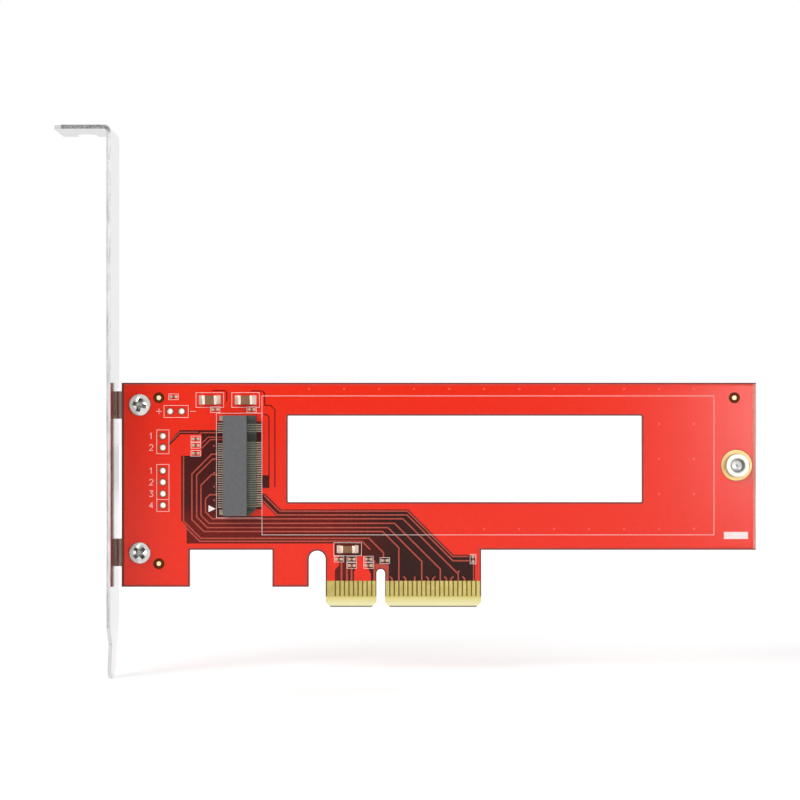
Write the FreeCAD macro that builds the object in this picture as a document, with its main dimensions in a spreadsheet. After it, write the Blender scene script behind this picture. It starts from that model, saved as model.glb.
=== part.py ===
import FreeCAD, Part
import math
import os

import Sketcher
from FreeCAD import Vector

# Interface card: a circuit board with a card edge, a folded bracket, a module socket and a standoff.
# Millimetres. The origin is on the centre line of the key notch, at the bottom of the card edge and in the
# middle of the board's thickness. +X runs along the board away from the bracket, +Z is up, and the side
# that carries the components faces -Y.

doc = FreeCAD.newDocument("interface_card")
sheet = doc.addObject("Spreadsheet::Sheet", "dim")

# Driving dimensions
SIZES = {
    # board outline: heights from the bottom of the card edge, lengths from the centre of the key notch
    "board_thickness": 1.6,
    "board_left": 57.15,
    "board_shoulder": 12.65,
    "foot_level": 4.5,
    "left_foot_width": 15.0,
    "hook_width": 8.0,
    "hook_slot_width": 3.75,
    "hook_slot_top": 12.45,
    "strip_below_socket": 7.65,
    "strip_above_socket": 7.2,
    "standoff_edge": 0.85,
    # window, from the module's stop, its middle and the standoff
    "window_start": 10.95,
    "window_below": 8.15,
    "window_above": 10.95,
    "window_to_standoff": 20.85,
    "window_corner": 0.25,
    # card edge and its contacts
    "contact_pitch": 1.0,
    "left_contact_count": 11,
    "right_contact_count": 21,
    "contact_margin": 0.65,
    "contact_width": 0.7,
    "contact_top": 5.8,
    "contact_bottom": 2.4,
    "plating": 0.05,
    "key_width": 1.9,
    "key_margin": 0.55,
    "key_top": 8.4,
    "edge_corner": 1.1,
    "bevel_height": 1.5,
    "bevel_depth": 0.5,
    # bracket
    "bracket_gauge": 0.86,
    "bracket_gap": 0.95,
    "bracket_width": 18.42,
    "bracket_behind": 2.54,
    "bracket_top": 105.0,
    "bracket_below": 15.02,
    "bend_radius": 0.5,
    "tab_length": 11.43,
    "tab_corner": 1.7,
    "tab_slot_width": 4.42,
    "tab_slot_depth": 5.6,
    "tab_slot_offset": 5.9,
    "tongue_width": 10.19,
    "tongue_length": 7.5,
    "tongue_shoulder": 4.1,
    "tongue_flat": 2.2,
    "tongue_set": 0.4,
    "ear_width": 6.1,
    "ear_relief": 0.8,
    # bracket screws
    "screw_inset": 4.05,
    "screw_drop": 4.9,
    "screw_rise": 7.5,
    "screw_thread": 2.5,
    "screw_length": 4.0,
    "screw_point": 0.35,
    "screw_head": 5.0,
    "screw_head_height": 1.7,
    "screw_head_rim": 0.6,
    "recess_span": 2.9,
    "recess_wing": 0.75,
    "recess_depth": 1.1,
    "screw_clearance": 0.2,
    "thread_clearance": 0.03,
    # module, and its socket from the stop that the module's edge meets
    "module_length": 110.0,
    "module_thickness": 0.8,
    "module_clearance": 0.15,
    "socket_inset": 25.65,
    "socket_pitch": 0.5,
    "socket_positions": 38,
    "past_key_positions": 5,
    "key_positions": 4,
    "mouth_margin": 0.75,
    "end_wall": 1.0,
    "cover": 0.8,
    "socket_rear": 3.1,
    "upper_jaw": 2.15,
    "lower_lip": 1.95,
    "socket_corner": 1.4,
    "socket_key_width": 1.0,
    "socket_key_floor": 0.7,
    "peg_diameter": 1.5,
    "peg_length": 1.3,
    "peg_inset": 1.5,
    "peg_end": 1.75,
    "spring_width": 0.2,
    "spring_gauge": 0.15,
    "spring_tail": 1.15,
    "spring_dip": 0.25,
    "spring_inset": 0.6,
    "spring_clearance": 0.04,
    "groove_depth": 0.4,
    "hold_down_width": 1.1,
    "hold_down_length": 1.0,
    "hold_down_height": 1.2,
    "hold_down_gauge": 0.2,
    "hold_down_inset": 0.1,
    # standoff
    "standoff_height": 2.4,
    "standoff_bore": 2.5,
    "standoff_shank": 4.2,
    "standoff_shoulder": 0.5,
    "standoff_chamfer": 0.3,
    "standoff_floor": 0.55,
    "drill_point": 0.7,
    "land_margin": 0.8,
    "seat_clearance": 0.05,
    # unfitted headers
    "header_pitch": 2.54,
    "header_hole": 1.0,
    "header_land": 1.7,
    "header_inset": 9.1,
    "led_inset": 10.7,
    "led_drop": 6.3,
    "led_ways": 2,
    "two_way_gap": 5.45,
    "two_way_ways": 2,
    "four_way_gap": 5.11,
    "four_way_ways": 4,
    # alignment dots
    "fiducial_diameter": 1.0,
    "fiducial_shift": 4.15,
    "fiducial_far_inset": 4.75,
    "fiducial_drop": 3.3,
    "fiducial_rise": 5.1,
    # chip components
    "bulk_length": 3.2,
    "bulk_width": 1.6,
    "bulk_height": 1.4,
    "bulk_cap": 0.6,
    "wide_length": 3.2,
    "wide_width": 2.0,
    "wide_height": 1.6,
    "wide_cap": 0.6,
    "chip_length": 1.1,
    "chip_width": 0.55,
    "chip_height": 0.4,
    "chip_cap": 0.3,
    "cap_step": 0.03,
    # places of the chip components
    "socket_chip_rise": 1.3,
    "socket_chip_behind": 1.9,
    "socket_chip_over": 6.1,
    "bulk_rise": 2.1,
    "bulk_behind_socket": 3.1,
    "bulk_over_socket": 4.8,
    "led_chip_shift": 0.75,
    "led_chip_drop": 3.1,
    "column_behind": 6.2,
    "column_rise": 2.65,
    "column_gap": 1.75,
    "column_pitch": 1.4,
    "edge_row_rise": 2.2,
    "edge_row_pitch": 1.4,
    "edge_bulk_rise": 2.2,
    "edge_bulk_shift": 7.3,
    "edge_chip_near": 2.7,
    "edge_chip_step": 3.7,
    "edge_chip_far_step": 2.8,
    "edge_chip_past_key": 0.9,
    "edge_chip_over_key": 1.9,
    "edge_chip_end": 1.8,
}

for row, (alias, number) in enumerate(SIZES.items(), 1):
    sheet.set(f"A{row}", alias)
    sheet.set(f"B{row}", str(number))
    sheet.setAlias(f"B{row}", alias)
doc.recompute()

# Places that several pieces share, as expressions of the sheet
FRONT = "(-dim.board_thickness / 2)"
BACK = "(dim.board_thickness / 2)"
KEY_TO_CONTACT = "(dim.key_width / 2 + dim.key_margin)"
EDGE_LEFT = f"({KEY_TO_CONTACT} + (dim.left_contact_count - 1) * dim.contact_pitch + dim.contact_margin)"
EDGE_RIGHT = f"({KEY_TO_CONTACT} + (dim.right_contact_count - 1) * dim.contact_pitch + dim.contact_margin)"

# the socket's length follows from its contacts, and the board's height from the socket's length
MOUTH_HALF = "((dim.socket_positions - 1) * dim.socket_pitch / 2 + dim.mouth_margin)"
SOCKET_HALF = f"({MOUTH_HALF} + dim.end_wall)"
MODULE_LEVEL = f"(dim.board_shoulder + dim.strip_below_socket + {SOCKET_HALF})"
SOCKET_TOP = f"({MODULE_LEVEL} + {SOCKET_HALF})"
BOARD_TOP = f"({SOCKET_TOP} + dim.strip_above_socket)"

# the board's length follows from the module that lies between the socket and the standoff
SOCKET_X = "(dim.socket_inset - dim.board_left)"
SOCKET_REAR_X = f"({SOCKET_X} - dim.socket_rear)"
STANDOFF_X = f"({SOCKET_X} + dim.module_length)"
STANDOFF_WALL = "(dim.standoff_shank / 2 + dim.standoff_shoulder)"
LAND_RADIUS = f"({STANDOFF_WALL} + dim.land_margin)"
BOARD_RIGHT = f"({STANDOFF_X} + {LAND_RADIUS} + dim.standoff_edge)"

# heights above the board's face
MODULE_SEAT = "(dim.plating + dim.standoff_height)"
JAW_TOP = f"({MODULE_SEAT} - dim.module_clearance)"
CEILING = f"({MODULE_SEAT} + dim.module_thickness + dim.module_clearance)"
SOCKET_HEIGHT = f"({CEILING} + dim.cover)"

LIP_X = "(dim.upper_jaw + dim.lower_lip)"
PEG_X = "(dim.peg_inset - dim.socket_rear)"
PEG_LEVEL = f"({SOCKET_HALF} - dim.peg_end)"
BRACKET_X = "(-dim.board_left - dim.bracket_gap)"
SCREW_X = "(dim.screw_inset - dim.board_left)"
SCREW_LOW = "(dim.foot_level + dim.screw_rise)"
SCREW_HIGH = f"({BOARD_TOP} - dim.screw_drop)"
HEADER_X = "(dim.header_inset - dim.board_left)"
LED_X = "(dim.led_inset - dim.board_left)"
LED_Z = f"({BOARD_TOP} - dim.led_drop)"
TWO_WAY_Z = f"({LED_Z} - dim.two_way_gap)"
FOUR_WAY_Z = f"({TWO_WAY_Z} - (dim.two_way_ways - 1) * dim.header_pitch - dim.four_way_gap)"

# radii of the board's holes
SCREW_HOLE = "(dim.screw_thread / 2 + dim.screw_clearance)"
SHANK_HOLE = "(dim.standoff_shank / 2 + dim.seat_clearance)"
PEG_HOLE = "(dim.peg_diameter / 2 + dim.seat_clearance)"
BARREL = "(dim.header_hole / 2 + dim.plating)"
BARREL_HOLE = f"({BARREL} + dim.seat_clearance)"

# unfitted headers: first hole, the axis that the row runs along, and how many ways it has
HEADERS = {
    "led_header_lands": (LED_X, LED_Z, "X", "dim.led_ways"),
    "two_way_header_lands": (HEADER_X, TWO_WAY_Z, "Z", "dim.two_way_ways"),
    "four_way_header_lands": (HEADER_X, FOUR_WAY_Z, "Z", "dim.four_way_ways"),
}

# A cut that starts in the open air starts this far outside the solid
OVERCUT = "0.1"
# Edges are found by their ends, which lie this close to the place asked for
CLOSE = 1e-4

nodes = []


def number_of(expression):
    return float(sheet.evalExpression(expression))


def new_body(label, x="0", y="0", z="0"):
    """A body whose own origin stands at x, y, z of the card."""
    body = doc.addObject("PartDesign::Body", label)
    body.Label = label
    for axis, expression in zip("xyz", (x, y, z)):
        body.setExpression(f"Placement.Base.{axis}", expression)
    nodes.append(body)
    return body


def origin_part(body, role):
    return next(part for part in body.Origin.OriginFeatures if part.Role == role)


def new_sketch(body, plane, offset="0"):
    """A sketch on one of the body's planes, moved along the plane's normal.

    XY faces +Z, YZ faces +X, and XZ faces -Y, the component side."""
    sketch = body.newObject("Sketcher::SketchObject", f"{body.Name}_sketch")
    sketch.AttachmentSupport = [(origin_part(body, f"{plane}_Plane"), "")]
    sketch.MapMode = "FlatFace"
    sketch.setExpression("AttachmentOffset.Base.z", offset)
    return sketch


def hold(sketch, kind, geometry, vertex, expression):
    """Tie one coordinate of a sketch point to an expression."""
    rule = Sketcher.Constraint(kind, -1, 1, geometry, vertex, number_of(expression))
    number = sketch.addConstraint(rule)
    sketch.setExpression(f"Constraints[{number}]", expression)


def add_outline(sketch, corners, arcs=None):
    """Draw a closed outline through corners, each a pair of expressions.

    arcs maps a corner's number to (way, centre x, centre y, held axis): the stretch after that corner is
    then an arc that turns left or right about that centre."""
    arcs = arcs or {}
    points = [Vector(number_of(x), number_of(y), 0) for x, y in corners]
    stretches = []
    for index, start in enumerate(points):
        end = points[(index + 1) % len(points)]
        if index not in arcs:
            stretches.append((sketch.addGeometry(Part.LineSegment(start, end), False), 1, 2))
            continue
        way, centre_x, centre_y, held = arcs[index]
        centre = Vector(number_of(centre_x), number_of(centre_y), 0)
        first, last = (start, end) if way == "left" else (end, start)
        angles = [math.atan2(point.y - centre.y, point.x - centre.x) for point in (first, last)]
        if angles[1] <= angles[0]:
            angles[1] += 2 * math.pi
        circle = Part.Circle(centre, Vector(0, 0, 1), start.distanceToPoint(centre))
        arc = sketch.addGeometry(Part.ArcOfCircle(circle, *angles), False)
        stretches.append((arc, 1, 2) if way == "left" else (arc, 2, 1))
        if held == "x":
            hold(sketch, "DistanceX", arc, 3, centre_x)
        else:
            hold(sketch, "DistanceY", arc, 3, centre_y)
    for index, (geometry, begin, finish) in enumerate(stretches):
        after, after_begin, _ = stretches[(index + 1) % len(stretches)]
        sketch.addConstraint(Sketcher.Constraint("Coincident", geometry, finish, after, after_begin))
        hold(sketch, "DistanceX", geometry, begin, corners[index][0])
        hold(sketch, "DistanceY", geometry, begin, corners[index][1])


def add_rectangle(sketch, left, bottom, right, top):
    add_outline(sketch, [(left, bottom), (right, bottom), (right, top), (left, top)])


def add_circle(sketch, x, y, radius):
    centre = Vector(number_of(x), number_of(y), 0)
    circle = sketch.addGeometry(Part.Circle(centre, Vector(0, 0, 1), number_of(radius)), False)
    hold(sketch, "DistanceX", circle, 3, x)
    hold(sketch, "DistanceY", circle, 3, y)
    rule = sketch.addConstraint(Sketcher.Constraint("Radius", circle, number_of(radius)))
    sketch.setExpression(f"Constraints[{rule}]", radius)


def pad(body, sketch, length, backwards=False):
    """Raise a sketch along its normal, or the other way if backwards."""
    feature = body.newObject("PartDesign::Pad", f"{body.Name}_pad")
    feature.Profile = sketch
    feature.Reversed = backwards
    feature.setExpression("Length", length)
    doc.recompute()
    return feature


def pocket(body, sketch, depth):
    """Cut a sketch against its normal, and make sure that it cuts something."""
    before = body.Shape.Volume
    feature = body.newObject("PartDesign::Pocket", f"{body.Name}_pocket")
    feature.Profile = sketch
    feature.setExpression("Length", depth)
    doc.recompute()
    if feature.Shape.Volume >= before:
        raise RuntimeError(f"{feature.Name} cuts nothing")
    return feature


def revolve(body, sketch):
    """Turn a sketch on the XY plane about the body's Y axis."""
    feature = body.newObject("PartDesign::Revolution", f"{body.Name}_revolution")
    feature.Profile = sketch
    feature.ReferenceAxis = (sketch, ["V_Axis"])
    feature.Angle = 360
    doc.recompute()
    return feature


def row_of(body, originals, axis, pitch, count, backwards=False):
    """Repeat features along one of the body's axes."""
    pattern = body.newObject("PartDesign::LinearPattern", f"{body.Name}_row")
    pattern.Originals = originals
    pattern.Direction = (origin_part(body, f"{axis}_Axis"), [""])
    pattern.Reversed = backwards
    pattern.setExpression("Length", f"({count} - 1) * {pitch}")
    pattern.setExpression("Occurrences", count)
    body.Tip = pattern
    doc.recompute()
    return pattern


def straight_edges(feature, **place):
    """Names of a feature's straight edges that lie at the given x, y or z, each an expression."""
    wanted = {axis: number_of(expression) for axis, expression in place.items()}
    names = []
    for number, edge in enumerate(feature.Shape.Edges, 1):
        ends = [vertex.Point for vertex in edge.Vertexes]
        on_line = all(abs(getattr(end, axis) - at) < CLOSE for end in ends for axis, at in wanted.items())
        if len(ends) == 2 and isinstance(edge.Curve, Part.Line) and on_line:
            names.append(f"Edge{number}")
    if not names:
        raise RuntimeError(f"{feature.Name} has no edge at {place}")
    return names


def round_edges(body, base, edges, radius):
    feature = body.newObject("PartDesign::Fillet", f"{body.Name}_fillet")
    feature.Base = (base, edges)
    feature.setExpression("Radius", radius)
    doc.recompute()
    return feature


def make_board():
    """The board: outline, window, holes, and the bevel of the card edge."""
    body = new_body("circuit_board")
    foot_right = "(dim.left_foot_width - dim.board_left)"
    slot_left = f"(-{EDGE_LEFT} - dim.hook_slot_width)"
    hook_left = f"({slot_left} - dim.hook_width)"
    slot_round = "(dim.hook_slot_top - dim.hook_slot_width / 2)"
    key_round = "(dim.key_top - dim.key_width / 2)"
    corners = [
        ("-dim.board_left", "dim.foot_level"),
        (foot_right, "dim.foot_level"),
        (foot_right, "dim.board_shoulder"),
        (hook_left, "dim.board_shoulder"),
        (hook_left, "dim.foot_level"),
        (slot_left, "dim.foot_level"),
        (slot_left, slot_round),
        (f"-{EDGE_LEFT}", slot_round),
        (f"-{EDGE_LEFT}", "dim.edge_corner"),
        (f"dim.edge_corner - {EDGE_LEFT}", "0"),
        ("-dim.key_width / 2 - dim.edge_corner", "0"),
        ("-dim.key_width / 2", "dim.edge_corner"),
        ("-dim.key_width / 2", key_round),
        ("dim.key_width / 2", key_round),
        ("dim.key_width / 2", "dim.edge_corner"),
        ("dim.key_width / 2 + dim.edge_corner", "0"),
        (f"{EDGE_RIGHT} - dim.edge_corner", "0"),
        (EDGE_RIGHT, "dim.edge_corner"),
        (EDGE_RIGHT, "dim.board_shoulder"),
        (BOARD_RIGHT, "dim.board_shoulder"),
        (BOARD_RIGHT, BOARD_TOP),
        ("-dim.board_left", BOARD_TOP),
    ]
    slot_corner = 6
    key_corner = 12
    arcs = {
        slot_corner: ("right", f"(-{EDGE_LEFT} - dim.hook_slot_width / 2)", slot_round, "y"),
        key_corner: ("right", "0", key_round, "y"),
    }
    outline = new_sketch(body, "XZ", FRONT)
    add_outline(outline, corners, arcs)
    pad(body, outline, "dim.board_thickness")

    left = f"({SOCKET_X} + dim.window_start)"
    right = f"({STANDOFF_X} - dim.window_to_standoff)"
    bottom = f"({MODULE_LEVEL} - dim.window_below)"
    top = f"({MODULE_LEVEL} + dim.window_above)"
    window = new_sketch(body, "XZ", BACK)
    add_rectangle(window, left, bottom, right, top)
    opening = pocket(body, window, "dim.board_thickness")
    window_edges = []
    for x in (left, right):
        for z in (bottom, top):
            window_edges += straight_edges(opening, x=x, z=z)
    round_edges(body, opening, window_edges, "dim.window_corner")

    holes = new_sketch(body, "XZ", BACK)
    for level in (SCREW_LOW, SCREW_HIGH):
        add_circle(holes, SCREW_X, level, SCREW_HOLE)
    for side in ("-", "+"):
        add_circle(holes, f"{SOCKET_X} + {PEG_X}", f"{MODULE_LEVEL} {side} {PEG_LEVEL}", PEG_HOLE)
    add_circle(holes, STANDOFF_X, MODULE_LEVEL, SHANK_HOLE)
    pocket(body, holes, "dim.board_thickness")

    for x, z, axis, ways in HEADERS.values():
        first_hole = new_sketch(body, "XZ", BACK)
        add_circle(first_hole, x, z, BARREL_HOLE)
        drilled = pocket(body, first_hole, "dim.board_thickness")
        row_of(body, [drilled], axis, "dim.header_pitch", ways, axis == "Z")

    bevel = new_sketch(body, "YZ", EDGE_RIGHT)
    add_outline(bevel, [(FRONT, "0"), (f"{FRONT} + dim.bevel_depth", "0"), (FRONT, "dim.bevel_height")])
    add_outline(bevel, [(BACK, "0"), (BACK, "dim.bevel_height"), (f"{BACK} - dim.bevel_depth", "0")])
    pocket(body, bevel, f"{EDGE_LEFT} + {EDGE_RIGHT}")


def make_edge_contacts(label, on_back):
    """The plated contacts on one side of the card edge. On the front the last two on the left are joined."""
    body = new_body(label)
    face = BACK if on_back else FRONT
    joined = 0 if on_back else 2

    def strip(left, right):
        sketch = new_sketch(body, "XZ", f"-{face}")
        add_rectangle(sketch, left, "dim.contact_bottom", right, "dim.contact_top")
        return pad(body, sketch, "dim.plating", on_back)

    half = "dim.contact_width / 2"
    first_left = strip(f"-{KEY_TO_CONTACT} - {half}", f"-{KEY_TO_CONTACT} + {half}")
    row_of(body, [first_left], "X", "dim.contact_pitch", f"(dim.left_contact_count - {joined})", True)
    first_right = strip(f"{KEY_TO_CONTACT} - {half}", f"{KEY_TO_CONTACT} + {half}")
    row_of(body, [first_right], "X", "dim.contact_pitch", "dim.right_contact_count")
    if joined:
        last = f"({EDGE_LEFT} - dim.contact_margin)"
        strip(f"-{last} - {half}", f"-{last} + dim.contact_pitch + {half}")


def make_bracket():
    """The bracket, folded from one sheet. Its origin is on the plate's inner face, where the ears seat."""
    body = new_body("bracket", BRACKET_X, BACK)
    gauge = "dim.bracket_gauge"
    behind = "dim.bracket_behind"
    front = "(dim.bracket_behind - dim.bracket_width)"
    bottom = "(-dim.bracket_below)"
    tongue_top = f"({bottom} + dim.tongue_length)"
    tab_end = f"(-{gauge} - dim.tab_length)"
    under_tab = f"(dim.bracket_top - {gauge})"
    profile = new_sketch(body, "XZ", f"-{behind}")
    add_outline(profile, [
        ("0", "dim.bracket_top"),
        (tab_end, "dim.bracket_top"),
        (tab_end, under_tab),
        (f"-{gauge}", under_tab),
        (f"-{gauge}", tongue_top),
        (f"-{gauge} - dim.tongue_set", bottom),
        ("-dim.tongue_set", bottom),
        ("0", tongue_top),
    ])
    pad(body, profile, "dim.bracket_width")

    middle = f"({behind} - dim.bracket_width / 2)"
    tongue_back = f"({middle} + dim.tongue_width / 2)"
    tongue_front = f"({middle} - dim.tongue_width / 2)"
    shoulder = f"({tongue_top} + dim.tongue_shoulder)"
    sides = new_sketch(body, "YZ")
    for outer, inner in ((behind, tongue_back), (front, tongue_front)):
        add_outline(sides, [(outer, shoulder), (outer, bottom), (inner, bottom), (inner, tongue_top)])
    narrowed = pocket(body, sides, f"{gauge} + dim.tongue_set")
    tips = straight_edges(narrowed, y=tongue_back, z=bottom)
    tips += straight_edges(narrowed, y=tongue_front, z=bottom)
    round_edges(body, narrowed, tips, "(dim.tongue_width - dim.tongue_flat) / 2")

    # beside each ear a relief is cut to the start of the bend, and behind the ear the sheet is cut away
    reliefs = new_sketch(body, "YZ")
    for level in (SCREW_LOW, SCREW_HIGH):
        low = f"({level} - dim.ear_width / 2)"
        high = f"({level} + dim.ear_width / 2)"
        add_outline(reliefs, [
            (behind, f"{low} - dim.ear_relief"),
            ("-dim.bend_radius", f"{low} - dim.ear_relief"),
            ("-dim.bend_radius", low),
            (gauge, low),
            (gauge, high),
            ("-dim.bend_radius", high),
            ("-dim.bend_radius", f"{high} + dim.ear_relief"),
            (behind, f"{high} + dim.ear_relief"),
        ])
    pocket(body, reliefs, gauge)

    ears = new_sketch(body, "XZ")
    screw_x = "(dim.screw_inset + dim.bracket_gap)"
    for level in (SCREW_LOW, SCREW_HIGH):
        low = f"{level} - dim.ear_width / 2"
        high = f"{level} + dim.ear_width / 2"
        outline = [(f"-{gauge}", low), (screw_x, low), (screw_x, high), (f"-{gauge}", high)]
        add_outline(ears, outline, {1: ("left", screw_x, level, "x")})
        add_circle(ears, screw_x, level, "dim.screw_thread / 2 + dim.thread_clearance")
    folded = pad(body, ears, gauge, True)

    inner_bends = straight_edges(folded, x="0", y="0")
    inner_bends += straight_edges(folded, x=f"-{gauge}", z=under_tab)
    inside = round_edges(body, folded, inner_bends, "dim.bend_radius")
    outer_bends = straight_edges(inside, x=f"-{gauge}", y=gauge)
    outer_bends += straight_edges(inside, x="0", z="dim.bracket_top")
    outside = round_edges(body, inside, outer_bends, f"dim.bend_radius + {gauge}")

    clipped = body.newObject("PartDesign::Chamfer", "bracket_tab_corner")
    clipped.Base = (outside, straight_edges(outside, x=tab_end, y=front))
    clipped.setExpression("Size", "dim.tab_corner")
    doc.recompute()

    slot = new_sketch(body, "XY", "dim.bracket_top")
    half = "dim.tab_slot_width / 2"
    slot_x = f"(-{gauge} - dim.tab_slot_offset)"
    round_y = f"({behind} - dim.tab_slot_depth + {half})"
    slot_corners = [
        (f"{slot_x} - {half}", f"{behind} + {OVERCUT}"),
        (f"{slot_x} - {half}", round_y),
        (f"{slot_x} + {half}", round_y),
        (f"{slot_x} + {half}", f"{behind} + {OVERCUT}"),
    ]
    add_outline(slot, slot_corners, {1: ("left", slot_x, round_y, "y")})
    pocket(body, slot, gauge)


def make_screws():
    """Two pan-head screws with a cross recess, heads on the board and threads in the bracket's ears."""
    body = new_body("bracket_screws", SCREW_X, FRONT, SCREW_LOW)
    shank = "dim.screw_thread / 2"
    head = "dim.screw_head / 2"
    dome = "(dim.screw_head_height - dim.screw_head_rim)"
    dome_radius = f"(({head}) ^ 2 + {dome} ^ 2) / (2 * {dome})"
    profile = new_sketch(body, "XY")
    corners = [
        ("0", "dim.screw_length"),
        ("0", "-dim.screw_head_height"),
        (head, "-dim.screw_head_rim"),
        (head, "0"),
        (shank, "0"),
        (shank, "dim.screw_length - dim.screw_point"),
        (f"{shank} - dim.screw_point", "dim.screw_length"),
    ]
    add_outline(profile, corners, {1: ("left", "0", f"{dome_radius} - dim.screw_head_height", "x")})
    turned = revolve(body, profile)

    recess = new_sketch(body, "XZ", "dim.screw_head_height")
    wing = "dim.recess_wing / 2"
    reach = "dim.recess_span / 2"
    quarter = [(wing, f"-{reach}"), (wing, f"-{wing}"), (reach, f"-{wing}")]
    cross = []
    for _ in range(4):
        cross += quarter
        quarter = [(f"-({y})", x) for x, y in quarter]
    add_outline(recess, cross)
    driven = pocket(body, recess, "dim.recess_depth")
    row_of(body, [turned, driven], "Z", f"({SCREW_HIGH} - {SCREW_LOW})", "2")


def socket_row(upper):
    """Count of one row's positions, and of those past the key. The lower row has one less of each."""
    fewer = "" if upper else " - 1"
    return f"(dim.socket_positions{fewer})", f"(dim.past_key_positions{fewer})"


def socket_groups(upper):
    """Contacts of one row: for each side of the key, the first one's level and how many there are."""
    positions, past_key = socket_row(upper)
    top = f"(({positions} - 1) / 2 * dim.socket_pitch)"
    passed = f"({past_key} + dim.key_positions)"
    return [(top, past_key), (f"({top} - {passed} * dim.socket_pitch)", f"({positions} - {passed})")]


def socket_key_level():
    """Level of the module's key: half way between the middles of the two rows' gaps."""
    middles = []
    for upper in (True, False):
        positions, past_key = socket_row(upper)
        middles.append(f"(({positions} - dim.key_positions) / 2 - {past_key}) * dim.socket_pitch")
    return f"(({middles[0]} + {middles[1]}) / 2)"


def make_socket_housing():
    """The moulded socket: two jaws with the module's mouth between them, and a groove for every contact."""
    body = new_body("socket_housing", SOCKET_X, FRONT, MODULE_LEVEL)
    rear = "-dim.socket_rear"
    plan = new_sketch(body, "XZ")
    add_outline(plan, [
        (rear, f"-{SOCKET_HALF}"),
        (f"{LIP_X} - dim.socket_corner", f"-{SOCKET_HALF}"),
        (LIP_X, f"dim.socket_corner - {SOCKET_HALF}"),
        (LIP_X, SOCKET_HALF),
        (rear, SOCKET_HALF),
    ])
    pad(body, plan, SOCKET_HEIGHT)

    # the end walls stop at the mouth's ceiling, in front of the upper jaw
    step = new_sketch(body, "XZ", SOCKET_HEIGHT)
    past_end = f"({SOCKET_HALF} + {OVERCUT})"
    add_rectangle(step, "dim.upper_jaw", f"-{past_end}", f"{LIP_X} + {OVERCUT}", past_end)
    pocket(body, step, "dim.cover")

    # the mouth, open at the front and split by the key
    slots = new_sketch(body, "YZ", f"{LIP_X} + {OVERCUT}")
    key = socket_key_level()
    key_low = f"({key} - dim.socket_key_width / 2)"
    key_high = f"({key} + dim.socket_key_width / 2)"
    add_rectangle(slots, f"-{CEILING}", f"-{MOUTH_HALF}", f"-{JAW_TOP}", key_low)
    add_rectangle(slots, f"-{CEILING}", key_high, f"-{JAW_TOP}", MOUTH_HALF)
    pocket(body, slots, f"{LIP_X} + {OVERCUT}")

    # in front of the upper jaw the key stands in a well
    well = new_sketch(body, "XZ", CEILING)
    half = "(dim.key_positions - 1) * dim.socket_pitch / 2"
    add_rectangle(well, "dim.upper_jaw", f"{key} - {half}", f"{LIP_X} + {OVERCUT}", f"{key} + {half}")
    pocket(body, well, f"{CEILING} - dim.socket_key_floor")

    width = "(dim.spring_width + 2 * dim.spring_clearance)"
    room = "(dim.spring_gauge + dim.spring_clearance)"
    upper_groove = [
        (f"{rear} - {OVERCUT}", OVERCUT),
        (f"{rear} + {room}", OVERCUT),
        (f"{rear} + {room}", f"-{CEILING}"),
        (f"dim.upper_jaw + {OVERCUT}", f"-{CEILING}"),
        (f"dim.upper_jaw + {OVERCUT}", f"-{CEILING} - dim.groove_depth"),
        (f"{rear} - {OVERCUT}", f"-{CEILING} - dim.groove_depth"),
    ]
    groove_floor = f"({JAW_TOP} - dim.groove_depth)"
    groove_end = "(dim.spring_inset - dim.spring_clearance)"
    lower_groove = [
        (f"{LIP_X} + {OVERCUT}", OVERCUT),
        (f"{LIP_X} - {room}", OVERCUT),
        (f"{LIP_X} - {room}", f"-{groove_floor}"),
        (groove_end, f"-{groove_floor}"),
        (groove_end, f"-{JAW_TOP} - {OVERCUT}"),
        (f"{LIP_X} + {OVERCUT}", f"-{JAW_TOP} - {OVERCUT}"),
    ]
    for upper, outline in ((True, upper_groove), (False, lower_groove)):
        for level, count in socket_groups(upper):
            groove = new_sketch(body, "XY", f"{level} + {width} / 2")
            add_outline(groove, outline)
            row_of(body, [pocket(body, groove, width)], "Z", "dim.socket_pitch", count, True)

    pegs = new_sketch(body, "XZ")
    for side in ("-", "+"):
        add_circle(pegs, PEG_X, f"{side}{PEG_LEVEL}", "dim.peg_diameter / 2")
    pad(body, pegs, "dim.peg_length", True)


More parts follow.
